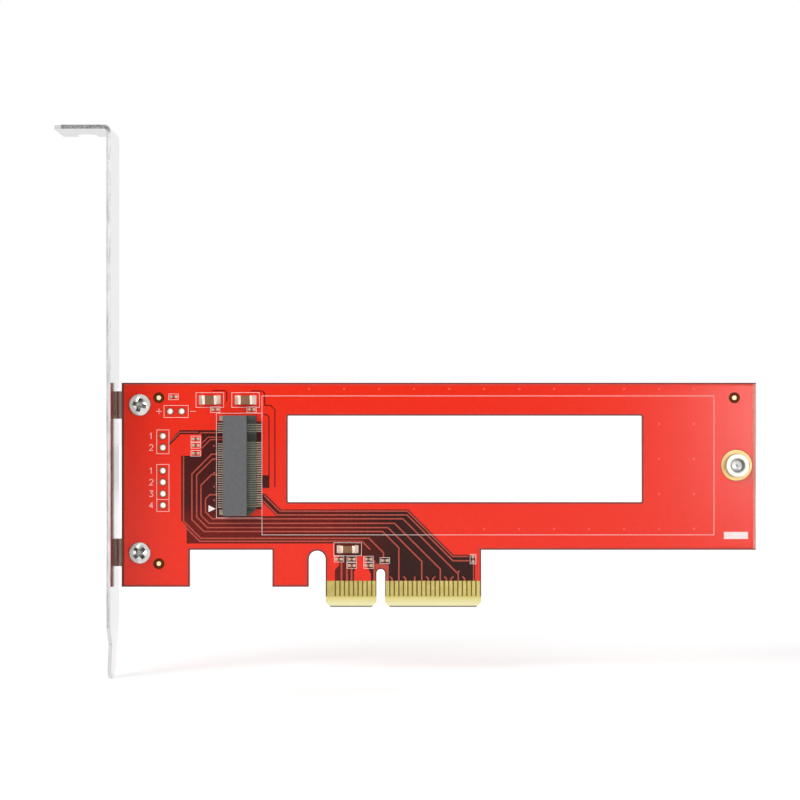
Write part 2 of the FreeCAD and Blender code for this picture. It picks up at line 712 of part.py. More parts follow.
def make_socket_contacts(label, upper):
    """One row of bent contacts: a tail on the board, a riser, and a spring in the mouth."""
    body = new_body(label, SOCKET_X, FRONT, MODULE_LEVEL)
    gauge = "dim.spring_gauge"
    rear = "-dim.socket_rear"
    if upper:
        beam = f"({CEILING} + dim.spring_clearance)"
        tip = "(dim.upper_jaw - dim.spring_inset)"
        reach = f"({CEILING} - dim.spring_dip)"
        outline = [
            (f"{rear} - dim.spring_tail", "0"),
            (f"{rear} + {gauge}", "0"),
            (f"{rear} + {gauge}", f"-{beam}"),
            (f"{tip} - {gauge}", f"-{beam}"),
            (f"{tip} - {gauge}", f"-{reach}"),
            (tip, f"-{reach}"),
            (tip, f"-{beam} - {gauge}"),
            (rear, f"-{beam} - {gauge}"),
            (rear, f"-{gauge}"),
            (f"{rear} - dim.spring_tail", f"-{gauge}"),
        ]
    else:
        beam = f"({JAW_TOP} - dim.groove_depth + dim.spring_clearance)"
        tip = "dim.spring_inset"
        reach = f"({JAW_TOP} + dim.spring_dip)"
        outline = [
            (f"{LIP_X} + dim.spring_tail", "0"),
            (f"{LIP_X} - {gauge}", "0"),
            (f"{LIP_X} - {gauge}", f"-{beam}"),
            (tip, f"-{beam}"),
            (tip, f"-{reach}"),
            (f"{tip} + {gauge}", f"-{reach}"),
            (f"{tip} + {gauge}", f"-{beam} - {gauge}"),
            (LIP_X, f"-{beam} - {gauge}"),
            (LIP_X, f"-{gauge}"),
            (f"{LIP_X} + dim.spring_tail", f"-{gauge}"),
        ]
    for level, count in socket_groups(upper):
        sketch = new_sketch(body, "XY", f"{level} - dim.spring_width / 2")
        add_outline(sketch, outline)
        row_of(body, [pad(body, sketch, "dim.spring_width")], "Z", "dim.socket_pitch", count, True)


def make_hold_downs():
    """Two bent solder tabs against the socket's rear face, one at each end."""
    body = new_body("socket_hold_downs", SOCKET_X, FRONT, MODULE_LEVEL)
    foot = new_sketch(body, "XZ")
    leg = new_sketch(body, "XZ")
    outer = f"({SOCKET_HALF} - dim.hold_down_inset)"
    inner = f"({outer} - dim.hold_down_width)"
    for low, high in ((inner, outer), (f"-{outer}", f"-{inner}")):
        add_rectangle(foot, "-dim.socket_rear - dim.hold_down_length", low, "-dim.socket_rear", high)
        add_rectangle(leg, "-dim.socket_rear - dim.hold_down_gauge", low, "-dim.socket_rear", high)
    pad(body, foot, "dim.hold_down_gauge")
    pad(body, leg, "dim.hold_down_height")


def make_standoff():
    """The threaded standoff, drilled blind: it sits on the land, and its shank fills the board's hole."""
    body = new_body("module_standoff", STANDOFF_X, FRONT, MODULE_LEVEL)
    drill_tip = "dim.board_thickness - dim.standoff_floor"
    bore = "dim.standoff_bore / 2"
    shank = "dim.standoff_shank / 2"
    profile = new_sketch(body, "XY")
    add_outline(profile, [
        ("0", drill_tip),
        (bore, f"{drill_tip} - dim.drill_point"),
        (bore, f"dim.standoff_chamfer - {MODULE_SEAT}"),
        (f"{bore} + dim.standoff_chamfer", f"-{MODULE_SEAT}"),
        (STANDOFF_WALL, f"-{MODULE_SEAT}"),
        (STANDOFF_WALL, "-dim.plating"),
        (shank, "-dim.plating"),
        (shank, "dim.board_thickness"),
        ("0", "dim.board_thickness"),
    ])
    revolve(body, profile)

    land = new_body("standoff_land", STANDOFF_X, FRONT, MODULE_LEVEL)
    ring = new_sketch(land, "XY")
    add_rectangle(ring, SHANK_HOLE, "-dim.plating", LAND_RADIUS, "0")
    revolve(land, ring)


def make_header_lands(label, x, z, axis, ways):
    """The plated holes of an unfitted header: a barrel through the board with a land on each face."""
    body = new_body(label, x, FRONT, z)
    hole = "dim.header_hole / 2"
    land = "dim.header_land / 2"
    far = "dim.board_thickness"
    profile = new_sketch(body, "XY")
    add_outline(profile, [
        (hole, "-dim.plating"),
        (land, "-dim.plating"),
        (land, "0"),
        (BARREL, "0"),
        (BARREL, far),
        (land, far),
        (land, f"{far} + dim.plating"),
        (hole, f"{far} + dim.plating"),
    ])
    row_of(body, [revolve(body, profile)], axis, "dim.header_pitch", ways, axis == "Z")


def make_fiducials():
    """Three bare gold dots that a placing machine aligns to."""
    body = new_body("fiducials")
    dots = new_sketch(body, "XZ", BACK)
    near = f"{SCREW_X} + dim.fiducial_shift"
    high = f"{BOARD_TOP} - dim.fiducial_drop"
    add_circle(dots, near, high, "dim.fiducial_diameter / 2")
    add_circle(dots, near, "dim.foot_level + dim.fiducial_rise", "dim.fiducial_diameter / 2")
    add_circle(dots, f"{BOARD_RIGHT} - dim.fiducial_far_inset", high, "dim.fiducial_diameter / 2")
    pad(body, dots, "dim.plating")


def new_box(label, corner, spans):
    """A block from its lowest corner and its lengths along X, Y and Z, all expressions."""
    box = doc.addObject("Part::Box", label)
    box.Label = label
    for axis, expression in zip("xyz", corner):
        box.setExpression(f"Placement.Base.{axis}", expression)
    for name, expression in zip(("Length", "Width", "Height"), spans):
        box.setExpression(name, expression)
    return box


def make_chip(label, kind, x, z, upright=False):
    """A chip component: a ceramic block between two metal end caps that stand on the board."""
    length, width, height, cap = (f"dim.{kind}_{word}" for word in ("length", "width", "height", "cap"))
    core = f"({length} - 2 * {cap})"
    slim = f"({width} - 2 * dim.cap_step)"
    low = f"({height} - 2 * dim.cap_step)"

    def block(name, along, run, across, thick, lift):
        """A block that starts at along from the chip's centre, on its long axis."""
        side = f"-{across} / 2"
        place = (side, along) if upright else (along, side)
        spans = (across, thick, run) if upright else (run, thick, across)
        corner = (f"{x} + {place[0]}", f"{FRONT} - {lift} - {thick}", f"{z} + {place[1]}")
        return new_box(name, corner, spans)

    nodes.append(block(label, f"-{core} / 2", core, slim, low, "dim.cap_step"))
    caps = doc.addObject("Part::Compound", f"{label}_end_caps")
    caps.Label = f"{label}_end_caps"
    caps.Links = [
        block(f"{label}_first_cap", f"-{length} / 2", cap, width, height, "0"),
        block(f"{label}_second_cap", f"{core} / 2", cap, width, height, "0"),
    ]
    nodes.append(caps)


def make_chips():
    """All chip components, placed from the board's top edge, the socket and the key notch."""
    make_chip("led_resistor", "chip", f"({LED_X} + dim.led_chip_shift)", f"({BOARD_TOP} - dim.led_chip_drop)")

    over_socket = f"({SOCKET_TOP} + dim.socket_chip_rise)"
    make_chip("socket_capacitor_1", "chip", f"({SOCKET_REAR_X} - dim.socket_chip_behind)", over_socket)
    make_chip("socket_capacitor_2", "chip", f"({SOCKET_REAR_X} + dim.socket_chip_over)", over_socket)

    bulk_z = f"({over_socket} + dim.bulk_rise)"
    make_chip("bulk_capacitor_1", "wide", f"({SOCKET_REAR_X} - dim.bulk_behind_socket)", bulk_z)
    make_chip("bulk_capacitor_2", "wide", f"({SOCKET_REAR_X} + dim.bulk_over_socket)", bulk_z)

    column_x = f"({SOCKET_REAR_X} - dim.column_behind)"
    lowest = f"({MODULE_LEVEL} + dim.column_rise)"
    make_chip("signal_resistor_1", "chip", column_x, f"({lowest} + dim.column_gap + dim.column_pitch)")
    make_chip("signal_resistor_2", "chip", column_x, f"({lowest} + dim.column_gap)")
    make_chip("signal_resistor_3", "chip", column_x, lowest)

    edge_high = "(dim.key_top + dim.edge_row_rise)"
    edge_low = f"({edge_high} - dim.edge_row_pitch)"
    middle_x = "(-dim.edge_chip_near - dim.edge_chip_step)"
    edge_places = [
        (f"({middle_x} - dim.edge_chip_far_step)", edge_high),
        (middle_x, edge_high),
        (middle_x, edge_low),
        ("(-dim.edge_chip_near)", edge_high),
        ("(-dim.edge_chip_near)", edge_low),
        ("dim.edge_chip_past_key", "(dim.key_top + dim.edge_chip_over_key)"),
    ]
    for number, (x, z) in enumerate(edge_places, 1):
        make_chip(f"edge_capacitor_{number}", "chip", x, z)
    make_chip("bulk_capacitor_3", "bulk", "(-dim.edge_bulk_shift)", f"({edge_high} + dim.edge_bulk_rise)")
    make_chip("edge_resistor", "chip", f"({EDGE_RIGHT} - dim.edge_chip_end)", edge_high, True)


make_board()
make_edge_contacts("edge_contacts_front", False)
make_edge_contacts("edge_contacts_back", True)
make_bracket()
make_screws()
make_socket_housing()
make_socket_contacts("socket_contacts_upper", True)
make_socket_contacts("socket_contacts_lower", False)
make_hold_downs()
make_standoff()
for header, (x, z, axis, ways) in HEADERS.items():
    make_header_lands(header, x, z, axis, ways)
make_fiducials()
make_chips()
doc.recompute()

for item in doc.Objects:
    if "Invalid" in item.State or "Error" in item.State:
        raise RuntimeError(f"{item.Label} failed: {item.State}")
for node in nodes:
    if node.Shape.isNull() or not node.Shape.isValid():
        raise RuntimeError(f"{node.Label} has no valid shape")

os.makedirs("parts", exist_ok=True)
for node in nodes:
    node.Shape.exportStep(f"parts/{node.Label}.step")
    print(f"{node.Label}: {len(node.Shape.Solids)} solids, {node.Shape.Volume:.3f} mm3")
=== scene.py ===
import math

import bmesh
import bpy
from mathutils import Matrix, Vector


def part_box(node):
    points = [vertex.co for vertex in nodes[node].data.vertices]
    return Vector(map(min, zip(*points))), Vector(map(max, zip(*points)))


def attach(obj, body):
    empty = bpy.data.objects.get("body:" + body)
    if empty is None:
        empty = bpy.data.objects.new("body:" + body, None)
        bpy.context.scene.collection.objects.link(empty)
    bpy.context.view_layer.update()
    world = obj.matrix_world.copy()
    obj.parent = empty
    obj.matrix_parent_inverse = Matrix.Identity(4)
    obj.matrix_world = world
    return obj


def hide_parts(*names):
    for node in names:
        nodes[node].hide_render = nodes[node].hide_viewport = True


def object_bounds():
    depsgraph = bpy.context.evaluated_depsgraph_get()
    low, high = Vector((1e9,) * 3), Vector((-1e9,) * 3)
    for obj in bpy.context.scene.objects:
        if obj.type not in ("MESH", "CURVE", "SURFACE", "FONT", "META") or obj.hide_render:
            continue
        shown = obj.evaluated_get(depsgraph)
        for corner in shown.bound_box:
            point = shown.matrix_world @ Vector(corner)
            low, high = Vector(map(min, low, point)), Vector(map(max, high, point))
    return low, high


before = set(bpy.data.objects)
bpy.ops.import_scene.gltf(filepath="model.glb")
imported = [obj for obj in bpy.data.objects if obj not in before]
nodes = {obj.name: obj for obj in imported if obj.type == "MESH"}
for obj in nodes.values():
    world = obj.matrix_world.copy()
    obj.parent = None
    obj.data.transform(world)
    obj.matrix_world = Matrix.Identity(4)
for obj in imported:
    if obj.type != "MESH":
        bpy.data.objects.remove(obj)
cad_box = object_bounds()

# Lengths below are millimetres in the card's own frame, and MM turns them into Blender's metres.
MM = 0.001

# Heights above the board's face, lowest layer first
RIM_HEIGHT = 0.020
POUR_HEIGHT = 0.030
LANE_HEIGHT = 0.040
PATCH_HEIGHT = 0.044
RING_HEIGHT = 0.046
TRACE_HEIGHT = 0.050
PAD_HEIGHT = 0.056
INK_HEIGHT = 0.066
OVER_INK = 0.070


# Places on the board that the artwork shares with the solids

def place_of(node):
    """Lowest and highest corner of a node, in millimetres."""
    low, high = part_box(node)
    return low / MM, high / MM


def middle_of(node):
    """Middle of a node, in millimetres."""
    low, high = place_of(node)
    return (low + high) / 2


BOARD_LOW, BOARD_HIGH = place_of("circuit_board")
FACE, BACK = BOARD_LOW.y, BOARD_HIGH.y
LEFT, RIGHT, TOP = BOARD_LOW.x, BOARD_HIGH.x, BOARD_HIGH.z

# The board's lower side: levels along Z, and where its foot, hook and card edge begin and end along X
SHOULDER = 12.65
FOOT, FOOT_END = 4.5, -42.15
HOOK_START, HOOK_END = -23.9, -15.9
SLOT_TOP = 12.45
MASK_END = 5.85
EDGE_LEFT, EDGE_RIGHT = -12.15, 22.15
KEY_HALF, KEY_TOP = 0.95, 8.4

# The window's left, low, right and high side
WINDOW = (-20.55, 23.15, 57.65, 42.25)
WINDOW_CORNER = 0.25

# Centres of dots, screws and pegs, and of the standoff with the radius of its land
FIDUCIALS = [(-48.95, 46.2), (-48.95, 9.6), (78.0, 46.2)]
SCREWS = [(-53.1, 12.0), (-53.1, 44.6)]
PEGS = [(-33.1, 22.05), (-33.1, 40.55)]
STANDOFF_X, _, MODULE_LEVEL = middle_of("standoff_land")
STANDOFF = (STANDOFF_X, MODULE_LEVEL)
STANDOFF_LAND = place_of("standoff_land")[1].x - STANDOFF_X

# The socket along X: its rear, the end of its cover and the end of its lip
SOCKET_LOW, SOCKET_HIGH = place_of("socket_housing")
SOCKET_REAR, JAW_END, SOCKET_LIP = SOCKET_LOW.x, -29.35, SOCKET_HIGH.x

# Holes of the unfitted headers
HEADER_PITCH = 2.54


def header_holes(node, ways, axis):
    """Centres of a header's holes, along X or down Z, about the middle of its lands."""
    middle = middle_of(node)
    steps = [HEADER_PITCH * (i - (ways - 1) / 2) for i in range(ways)]
    if axis == "X":
        return [(middle.x + step, middle.z) for step in steps]
    return [(middle.x, middle.z - step) for step in steps]


LED_HOLES = header_holes("led_header_lands", 2, "X")
TWO_WAY_HOLES = header_holes("two_way_header_lands", 2, "Z")
FOUR_WAY_HOLES = header_holes("four_way_header_lands", 4, "Z")
HEADER_HOLES = LED_HOLES + TWO_WAY_HOLES + FOUR_WAY_HOLES

# How far the copper stays back from the cut edges and from the ears, and the radii of its holes
POUR_INSET, WINDOW_INSET = 0.6, 0.5
EAR_ROOM = 3.5
HEADER_GAP = 0.62
STANDOFF_GAP, STANDOFF_BACK_GAP = 2.4, 3.2
SCREW_GAP = 1.5
PEG_GAP = 1.0

# Widths of the lines of painted shade along the routed edges, of the painted highlight at the far end and
# of the painted shade at the bracket
RIM_WIDTH = 0.26
LIT_WIDTH = 0.6
NEAR_WIDTH = 0.55


# Colours and materials

def shown(red, green, blue):
    """A colour as it shows on screen, 0 to 255, as the linear values that a shader takes."""
    linear = []
    for part in (red / 255, green / 255, blue / 255):
        linear.append(part / 12.92 if part <= 0.04045 else ((part + 0.055) / 1.055) ** 2.4)
    return (*linear, 1.0)


class Wiring:
    """The shader nodes of one tree, added one at a time."""

    def __init__(self, tree, coordinate):
        self.tree = tree
        self.place = self.add("ShaderNodeTexCoord").outputs[coordinate]

    def add(self, kind, **settings):
        """A new node with its settings."""
        node = self.tree.nodes.new(kind)
        for name, value in settings.items():
            setattr(node, name, value)
        return node

    def feed(self, socket, value):
        """Connect a value that is another node's output, or set it."""
        if isinstance(value, bpy.types.NodeSocket):
            self.tree.links.new(value, socket)
        else:
            socket.default_value = value

    def axis(self, letter):
        """One coordinate of the place that is shaded."""
        node = self.add("ShaderNodeSeparateXYZ")
        self.feed(node.inputs["Vector"], self.place)
        return node.outputs[letter]

    def spread(self, value, low, high, start=0.3, end=0.7):
        """Spread a value of start to end over low to high."""
        node = self.add("ShaderNodeMapRange")
        self.feed(node.inputs["Value"], value)
        for name, number in (("From Min", start), ("From Max", end), ("To Min", low), ("To Max", high)):
            self.feed(node.inputs[name], number)
        return node.outputs["Result"]

    def math(self, operation, first, second=0.0):
        """One step of arithmetic on two values."""
        node = self.add("ShaderNodeMath", operation=operation)
        self.feed(node.inputs[0], first)
        self.feed(node.inputs[1], second)
        return node.outputs["Value"]


class Paint(Wiring):
    """A material whose textures follow the object's own coordinates, in metres."""

    def __init__(self, name):
        self.material = bpy.data.materials.new(name)
        self.material.use_nodes = True
        super().__init__(self.material.node_tree, "Object")
        self.shader = self.tree.nodes["Principled BSDF"]

    def noise(self, size, detail=3.0, stretch=None):
        """Noise whose spots are about size mm across, drawn out along an axis by stretch."""
        place = self.place
        if stretch:
            mapping = self.add("ShaderNodeMapping")
            self.feed(mapping.inputs["Vector"], place)
            mapping.inputs["Scale"].default_value = stretch
            place = mapping.outputs["Vector"]
        node = self.add("ShaderNodeTexNoise")
        self.feed(node.inputs["Vector"], place)
        node.inputs["Scale"].default_value = 1 / (size * MM)
        node.inputs["Detail"].default_value = detail
        return node.outputs["Fac"]

    def mix(self, share, first, second):
        """A colour between first, at a share of 0, and second, at 1."""
        node = self.add("ShaderNodeMix", data_type="RGBA")
        self.feed(node.inputs["Factor"], share)
        self.feed(node.inputs["A"], first)
        self.feed(node.inputs["B"], second)
        return node.outputs["Result"]

    def bump(self, height, depth, strength=1.0):
        """Relief of depth mm."""
        node = self.add("ShaderNodeBump")
        node.inputs["Strength"].default_value = strength
        node.inputs["Distance"].default_value = depth * MM
        self.feed(node.inputs["Height"], height)
        self.feed(self.shader.inputs["Normal"], node.outputs["Normal"])

    def finish(self, colour, roughness, metallic=0.0, specular=0.5):
        """Connect what the surface shader needs and hand over the material."""
        self.feed(self.shader.inputs["Base Color"], colour)
        self.feed(self.shader.inputs["Roughness"], roughness)
        self.shader.inputs["Metallic"].default_value = metallic
        self.shader.inputs["Specular IOR Level"].default_value = specular
        return self.material


def weave_of(paint, pitch):
    """Height of a woven glass cloth with threads of that pitch along X and Z."""
    waves = []
    for letter in ("X", "Z"):
        turn = paint.math("MULTIPLY", paint.axis(letter), 2 * math.pi / (pitch * MM))
        waves.append(paint.math("SINE", turn))
    return paint.math("MULTIPLY", waves[0], waves[1])


def mask_material(name, colour, darker, roughness=0.155, specular=0.32):
    """Glossy solder mask: a soft mottle, and the weave of the laminate just showing through."""
    paint = Paint(name)
    mottle = paint.spread(paint.noise(0.5), 0.0, 1.0)
    tint = paint.mix(mottle, colour, darker)
    grain = paint.noise(0.12, 2.0)
    height = paint.math("ADD", paint.math("MULTIPLY", weave_of(paint, 0.9), 0.25), grain)
    paint.bump(height, 0.002, 0.3)
    gloss = paint.spread(paint.noise(0.3), roughness - 0.012, roughness + 0.012)
    return paint.finish(tint, gloss, specular=specular)


def lane_material():
    """Mask where there is no copper: dark, and redder in the long runs below the socket."""
    paint = Paint("mask_on_inner_layers")
    along = paint.spread(paint.axis("X"), 0.0, 1.0, -12.0 * MM, 3.0 * MM)
    up = paint.spread(paint.axis("Z"), 0.0, 1.0, 18.5 * MM, 23.0 * MM)
    patch = paint.spread(paint.noise(0.5), 0.0, 1.0)
    low = paint.mix(patch, shown(112, 22, 11), shown(100, 17, 8))
    high = paint.mix(patch, shown(74, 17, 13), shown(64, 13, 10))
    near = paint.mix(up, low, high)
    far = paint.mix(patch, shown(52, 17, 9), shown(44, 13, 7))
    paint.bump(paint.noise(0.12, 2.0), 0.002, 0.3)
    gloss = paint.spread(paint.noise(0.3), 0.16, 0.18)
    return paint.finish(paint.mix(along, near, far), gloss, specular=0.2)


def board_material():
    """The bare board: mask above the card edge, laminate below it, and raw laminate on the cut edges."""
    paint = Paint("board_laminate")
    height = paint.axis("Z")
    mottle = paint.spread(paint.noise(1.8), 0.0, 1.0)
    mask = paint.mix(mottle, shown(218, 56, 42), shown(206, 48, 36))
    weave = weave_of(paint, 0.9)
    fibre = paint.spread(weave, 0.0, 1.0, -1.0, 1.0)
    # the laminate is painted paler below the contacts, as painted light shining through it from behind and,
    # on the bevel, a painted reflection; between the contacts it is painted darker, as painted shade
    pale = paint.mix(fibre, shown(250, 246, 194), shown(240, 234, 176))
    backlit_laminate = paint.mix(fibre, shown(228, 214, 132), shown(214, 198, 112))
    shaded_laminate = paint.mix(fibre, shown(118, 99, 24), shown(102, 84, 18))
    # bands up the card edge: the cut line, the bevel, the contacts' lower ends and the mask's lower end
    bevel_end = paint.spread(height, 0.0, 1.0, 0.9 * MM, 2.2 * MM)
    contact_end = paint.spread(height, 0.0, 1.0, 2.3 * MM, 2.5 * MM)
    mask_end = paint.spread(height, 0.0, 1.0, 5.80 * MM, 5.84 * MM)
    feet = paint.math("LESS_THAN", paint.axis("X"), (EDGE_LEFT - 0.5) * MM)
    bare = paint.mix(contact_end, paint.mix(bevel_end, pale, backlit_laminate), shaded_laminate)
    cut_line = paint.spread(height, 0.0, 1.0, 0.2 * MM, 0.36 * MM)
    bare = paint.mix(cut_line, shown(126, 122, 106), bare)
    face = paint.mix(paint.math("MAXIMUM", mask_end, feet), bare, mask)
    # faces that don't look along Y are cut edges, where the plies show
    normal = paint.add("ShaderNodeSeparateXYZ")
    paint.feed(normal.inputs["Vector"], paint.add("ShaderNodeNewGeometry").outputs["True Normal"])
    sideways = paint.math("LESS_THAN", paint.math("ABSOLUTE", normal.outputs["Y"]), 0.5)
    ply = paint.spread(paint.noise(0.25, 2.0, (0.15, 4.0, 0.15)), 0.0, 1.0)
    cut = paint.mix(ply, shown(206, 176, 128), shown(150, 112, 74))
    colour = paint.mix(sideways, face, cut)
    paint.bump(paint.math("ADD", paint.math("MULTIPLY", weave, 0.4), paint.noise(0.12, 2.0)), 0.005, 0.5)
    gloss = paint.spread(paint.noise(0.6), 0.36, 0.48)
    return paint.finish(colour, gloss, specular=0.3)


def metal_material(name, colour, other, roughness, grain=None, size=0.3):
    """Plated metal: patchy tone, fine scratches along grain and a little unevenness."""
    paint = Paint(name)
    tone = paint.mix(paint.spread(paint.noise(size * 4), 0.0, 1.0), colour, other)
    scratch = paint.noise(size, 4.0, grain)
    paint.bump(scratch, 0.004, 0.6)
    gloss = paint.spread(scratch, roughness - 0.07, roughness + 0.09)
    return paint.finish(tone, gloss, metallic=1.0)


def moulded_material(name, colour, other, roughness, size=0.08, depth=0.006):
    """Moulded or fired surface with a fine grain."""
    paint = Paint(name)
    tone = paint.mix(paint.spread(paint.noise(size * 12), 0.0, 1.0), colour, other)
    grain = paint.noise(size, 4.0)
    paint.bump(grain, depth, 0.7)
    gloss = paint.spread(paint.noise(size * 5), roughness - 0.06, roughness + 0.06)
    return paint.finish(tone, gloss, specular=0.4)


def housing_material():
    """Fine matt moulding, with painted shade on the lip that the module slides over."""
    paint = Paint("moulded_housing")
    lip = paint.spread(paint.axis("X"), 0.0, 1.0, (JAW_END - 0.05) * MM, (JAW_END + 0.05) * MM)
    patch = paint.spread(paint.noise(1.0), 0.0, 1.0)
    top = paint.mix(patch, shown(97, 98, 101), shown(89, 90, 92))
    # mouth is painted shade on the lip, under the cover
    mouth = paint.mix(patch, shown(60, 64, 56), shown(52, 56, 48))
    paint.bump(paint.noise(0.08, 4.0), 0.006, 0.7)
    gloss = paint.spread(paint.noise(0.4), 0.44, 0.56)
    return paint.finish(paint.mix(lip, top, mouth), gloss, specular=0.4)


def spring_material():
    """Tinned contacts, darkened by painted shade on the lip inside the mouth, and brighter at their
    soldered tails.
    """
    paint = Paint("sprung_contact")
    tails = paint.spread(paint.axis("X"), 0.0, 1.0, (SOCKET_LIP - 0.1) * MM, (SOCKET_LIP + 0.1) * MM)
    patch = paint.spread(paint.noise(0.8), 0.0, 1.0)
    # painted shade on the contacts inside the mouth
    mouth_shade = paint.mix(patch, shown(138, 138, 120), shown(118, 118, 102))
    bright = paint.mix(patch, shown(186, 170, 154), shown(160, 144, 128))
    paint.bump(paint.noise(0.2, 4.0), 0.004, 0.6)
    gloss = paint.spread(paint.noise(0.3), 0.36, 0.5)
    return paint.finish(paint.mix(tails, mouth_shade, bright), gloss, metallic=1.0)


def sheet_material():
    """Zinc-plated sheet: drawn out scratches, rough sheared edges at the front, and painted shade over the
    bend at the top and on the ears.
    """
    paint = Paint("zinc_plated_sheet")
    along, depth, height = paint.axis("X"), paint.axis("Y"), paint.axis("Z")
    patch = paint.spread(paint.noise(1.6), 0.0, 1.0)
    tone = paint.mix(patch, shown(217, 217, 217), shown(209, 209, 209))
    scratch = paint.noise(0.4, 4.0, (0.5, 1.0, 0.06))
    paint.bump(scratch, 0.003, 0.4)
    rolled = paint.spread(scratch, 0.07, 0.14)
    # the sheared front edges are torn in streaks, with painted shade over the bend at the top and a darker
    # line along the plate's outer side
    sheared = paint.math("LESS_THAN", depth, -15.0 * MM)
    streak = paint.noise(0.6, 3.0, (1.0, 1.0, 0.12))
    tear = paint.spread(height, streak, paint.noise(0.5), 103.0 * MM, 104.0 * MM)
    gloss = paint.math("ADD", rolled, paint.math("MULTIPLY", sheared, paint.spread(tear, 0.4, 0.6)))
    fold_shade = paint.spread(height, 0.0, 0.52, 103.0 * MM, 104.0 * MM)
    outer_edge_darkening = paint.spread(along, 0.2, 0.0, -58.8 * MM, -58.6 * MM)
    streaks_and_shade = paint.math("ADD", paint.spread(tear, 0.04, 0.3), paint.math("MAXIMUM", fold_shade, outer_edge_darkening))
    dark = paint.math("MULTIPLY", sheared, streaks_and_shade)
    # the ears lie past the plate along X, within these depths, and are coloured with painted shade and a
    # reddish painted reflection of the board
    ears = paint.math("GREATER_THAN", along, -58.08 * MM)
    for operation, limit in (("GREATER_THAN", 0.25), ("LESS_THAN", 1.4)):
        ears = paint.math("MULTIPLY", ears, paint.math(operation, depth, limit * MM))
    past_bend = paint.spread(along, 0.0, 1.0, -58.0 * MM, -57.6 * MM)
    tone = paint.mix(ears, tone, paint.mix(past_bend, shown(204, 188, 178), shown(178, 153, 145)))
    gloss = paint.math("ADD", gloss, paint.math("MULTIPLY", ears, 0.45))
    return paint.finish(paint.mix(dark, tone, shown(60, 60, 60)), gloss, metallic=1.0)


BOARD = board_material()
POUR = mask_material("mask_on_copper", shown(242, 42, 14), shown(236, 39, 12))
LANE = lane_material()
TRACE = mask_material("mask_on_trace", shown(186, 78, 62), shown(172, 64, 50))
TENTED = mask_material("mask_over_via", shown(250, 92, 72), shown(244, 76, 58))
# painted shade: a dark line standing for the shaded edge walls of the board
EDGE_SHADE = mask_material("painted_edge_shade", shown(112, 38, 30), shown(92, 30, 25), 0.5)
# painted shade along the board's end beside the bracket
BRACKET_END_SHADE = mask_material("painted_shade_at_bracket_end", shown(128, 44, 38), shown(110, 40, 34), 0.5)
# painted highlight along the board's far end
FAR_END_HIGHLIGHT = mask_material("painted_highlight_at_far_end", shown(222, 148, 130), shown(210, 130, 112), 0.5)
CLEAR = mask_material("clear_laminate", shown(102, 42, 2), shown(84, 34, 1), 0.5, 0.08)
INK = moulded_material("white_ink", shown(252, 238, 235), shown(244, 224, 221), 0.55, 0.1, 0.01)
GOLD = metal_material("gold_plating", shown(197, 182, 113), shown(182, 165, 94), 0.34, (1.0, 1.0, 0.12))
DOT = metal_material("matt_gold", shown(244, 226, 190), shown(236, 214, 174), 0.55)
SEAT = metal_material("gold_seat", shown(232, 203, 142), shown(222, 190, 130), 0.5)
LAND = metal_material("plated_land", shown(206, 174, 152), shown(186, 154, 134), 0.45)
TIN = metal_material("tinned_lead", shown(186, 170, 154), shown(160, 144, 128), 0.42, size=0.2)
SPRING = spring_material()
SOLDER = metal_material("solder", shown(230, 208, 193), shown(212, 190, 175), 0.4)
DULL_SOLDER = metal_material("dull_solder", shown(210, 180, 162), shown(192, 162, 145), 0.45)
STEEL = sheet_material()
SCREW = metal_material("plated_screw", shown(226, 224, 220), shown(200, 198, 194), 0.2)
# painted shade on the walls of the screws' cross recess
RECESS_SHADE = metal_material("painted_recess_shade", shown(168, 166, 162), shown(136, 134, 130), 0.26)
# painted shade on the thread inside the standoff's bore
BORE_SHADE = metal_material("painted_bore_shade", shown(196, 196, 196), shown(160, 160, 160), 0.4)
# painted light: the bore's floor is painted much paler than the turned metal around it
LIT_BORE_FLOOR = metal_material("painted_light_bore_floor", shown(238, 236, 234), shown(226, 224, 222), 0.36)
TURNED = metal_material(
    "turned_standoff", shown(188, 186, 180), shown(172, 170, 163), 0.34, (1.0, 6.0, 1.0))
HOUSING = housing_material()
CERAMIC = moulded_material("capacitor_body", shown(142, 100, 64), shown(128, 86, 54), 0.42)
RESISTOR = moulded_material("resistor_body", shown(104, 84, 58), shown(88, 70, 48), 0.4)


# Pieces made here

def new_object(name, bm, material):
    """Turn a bmesh in millimetres into an object of one material."""
    bmesh.ops.recalc_face_normals(bm, faces=bm.faces)
    bmesh.ops.scale(bm, vec=(MM, MM, MM), verts=bm.verts)
    mesh = bpy.data.meshes.new(name)
    bm.to_mesh(mesh)
    bm.free()
    mesh.materials.append(material)
    made = bpy.data.objects.new(name, mesh)
    bpy.context.scene.collection.objects.link(made)
    return made


def new_piece(name, bm, material, smooth=False):
    """An object that rides on the card."""
    piece = new_object(name, bm, material)
    for polygon in piece.data.polygons:
        polygon.use_smooth = smooth
    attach(piece, "root")
    return piece


def level(height, back=False):
    """Y of a layer that stands height above one of the board's faces."""
    return BACK + height if back else FACE - height


def add_plate(bm, outlines, height, back=False):
    """A thin plate on the board's face. The first outline is its edge and the rest are its holes."""
    edges = []
    for outline in outlines:
        ring = [bm.verts.new((x, level(0, back), z)) for x, z in outline]
        edges += [bm.edges.new((ring[i - 1], ring[i])) for i in range(len(ring))]
    filled = bmesh.ops.triangle_fill(bm, use_beauty=True, use_dissolve=False, edges=edges)
    faces = [item for item in filled["geom"] if isinstance(item, bmesh.types.BMFace)]
    raised = bmesh.ops.extrude_face_region(bm, geom=faces)
    for item in raised["geom"]:
        if isinstance(item, bmesh.types.BMVert):
            item.co.y = level(height, back)


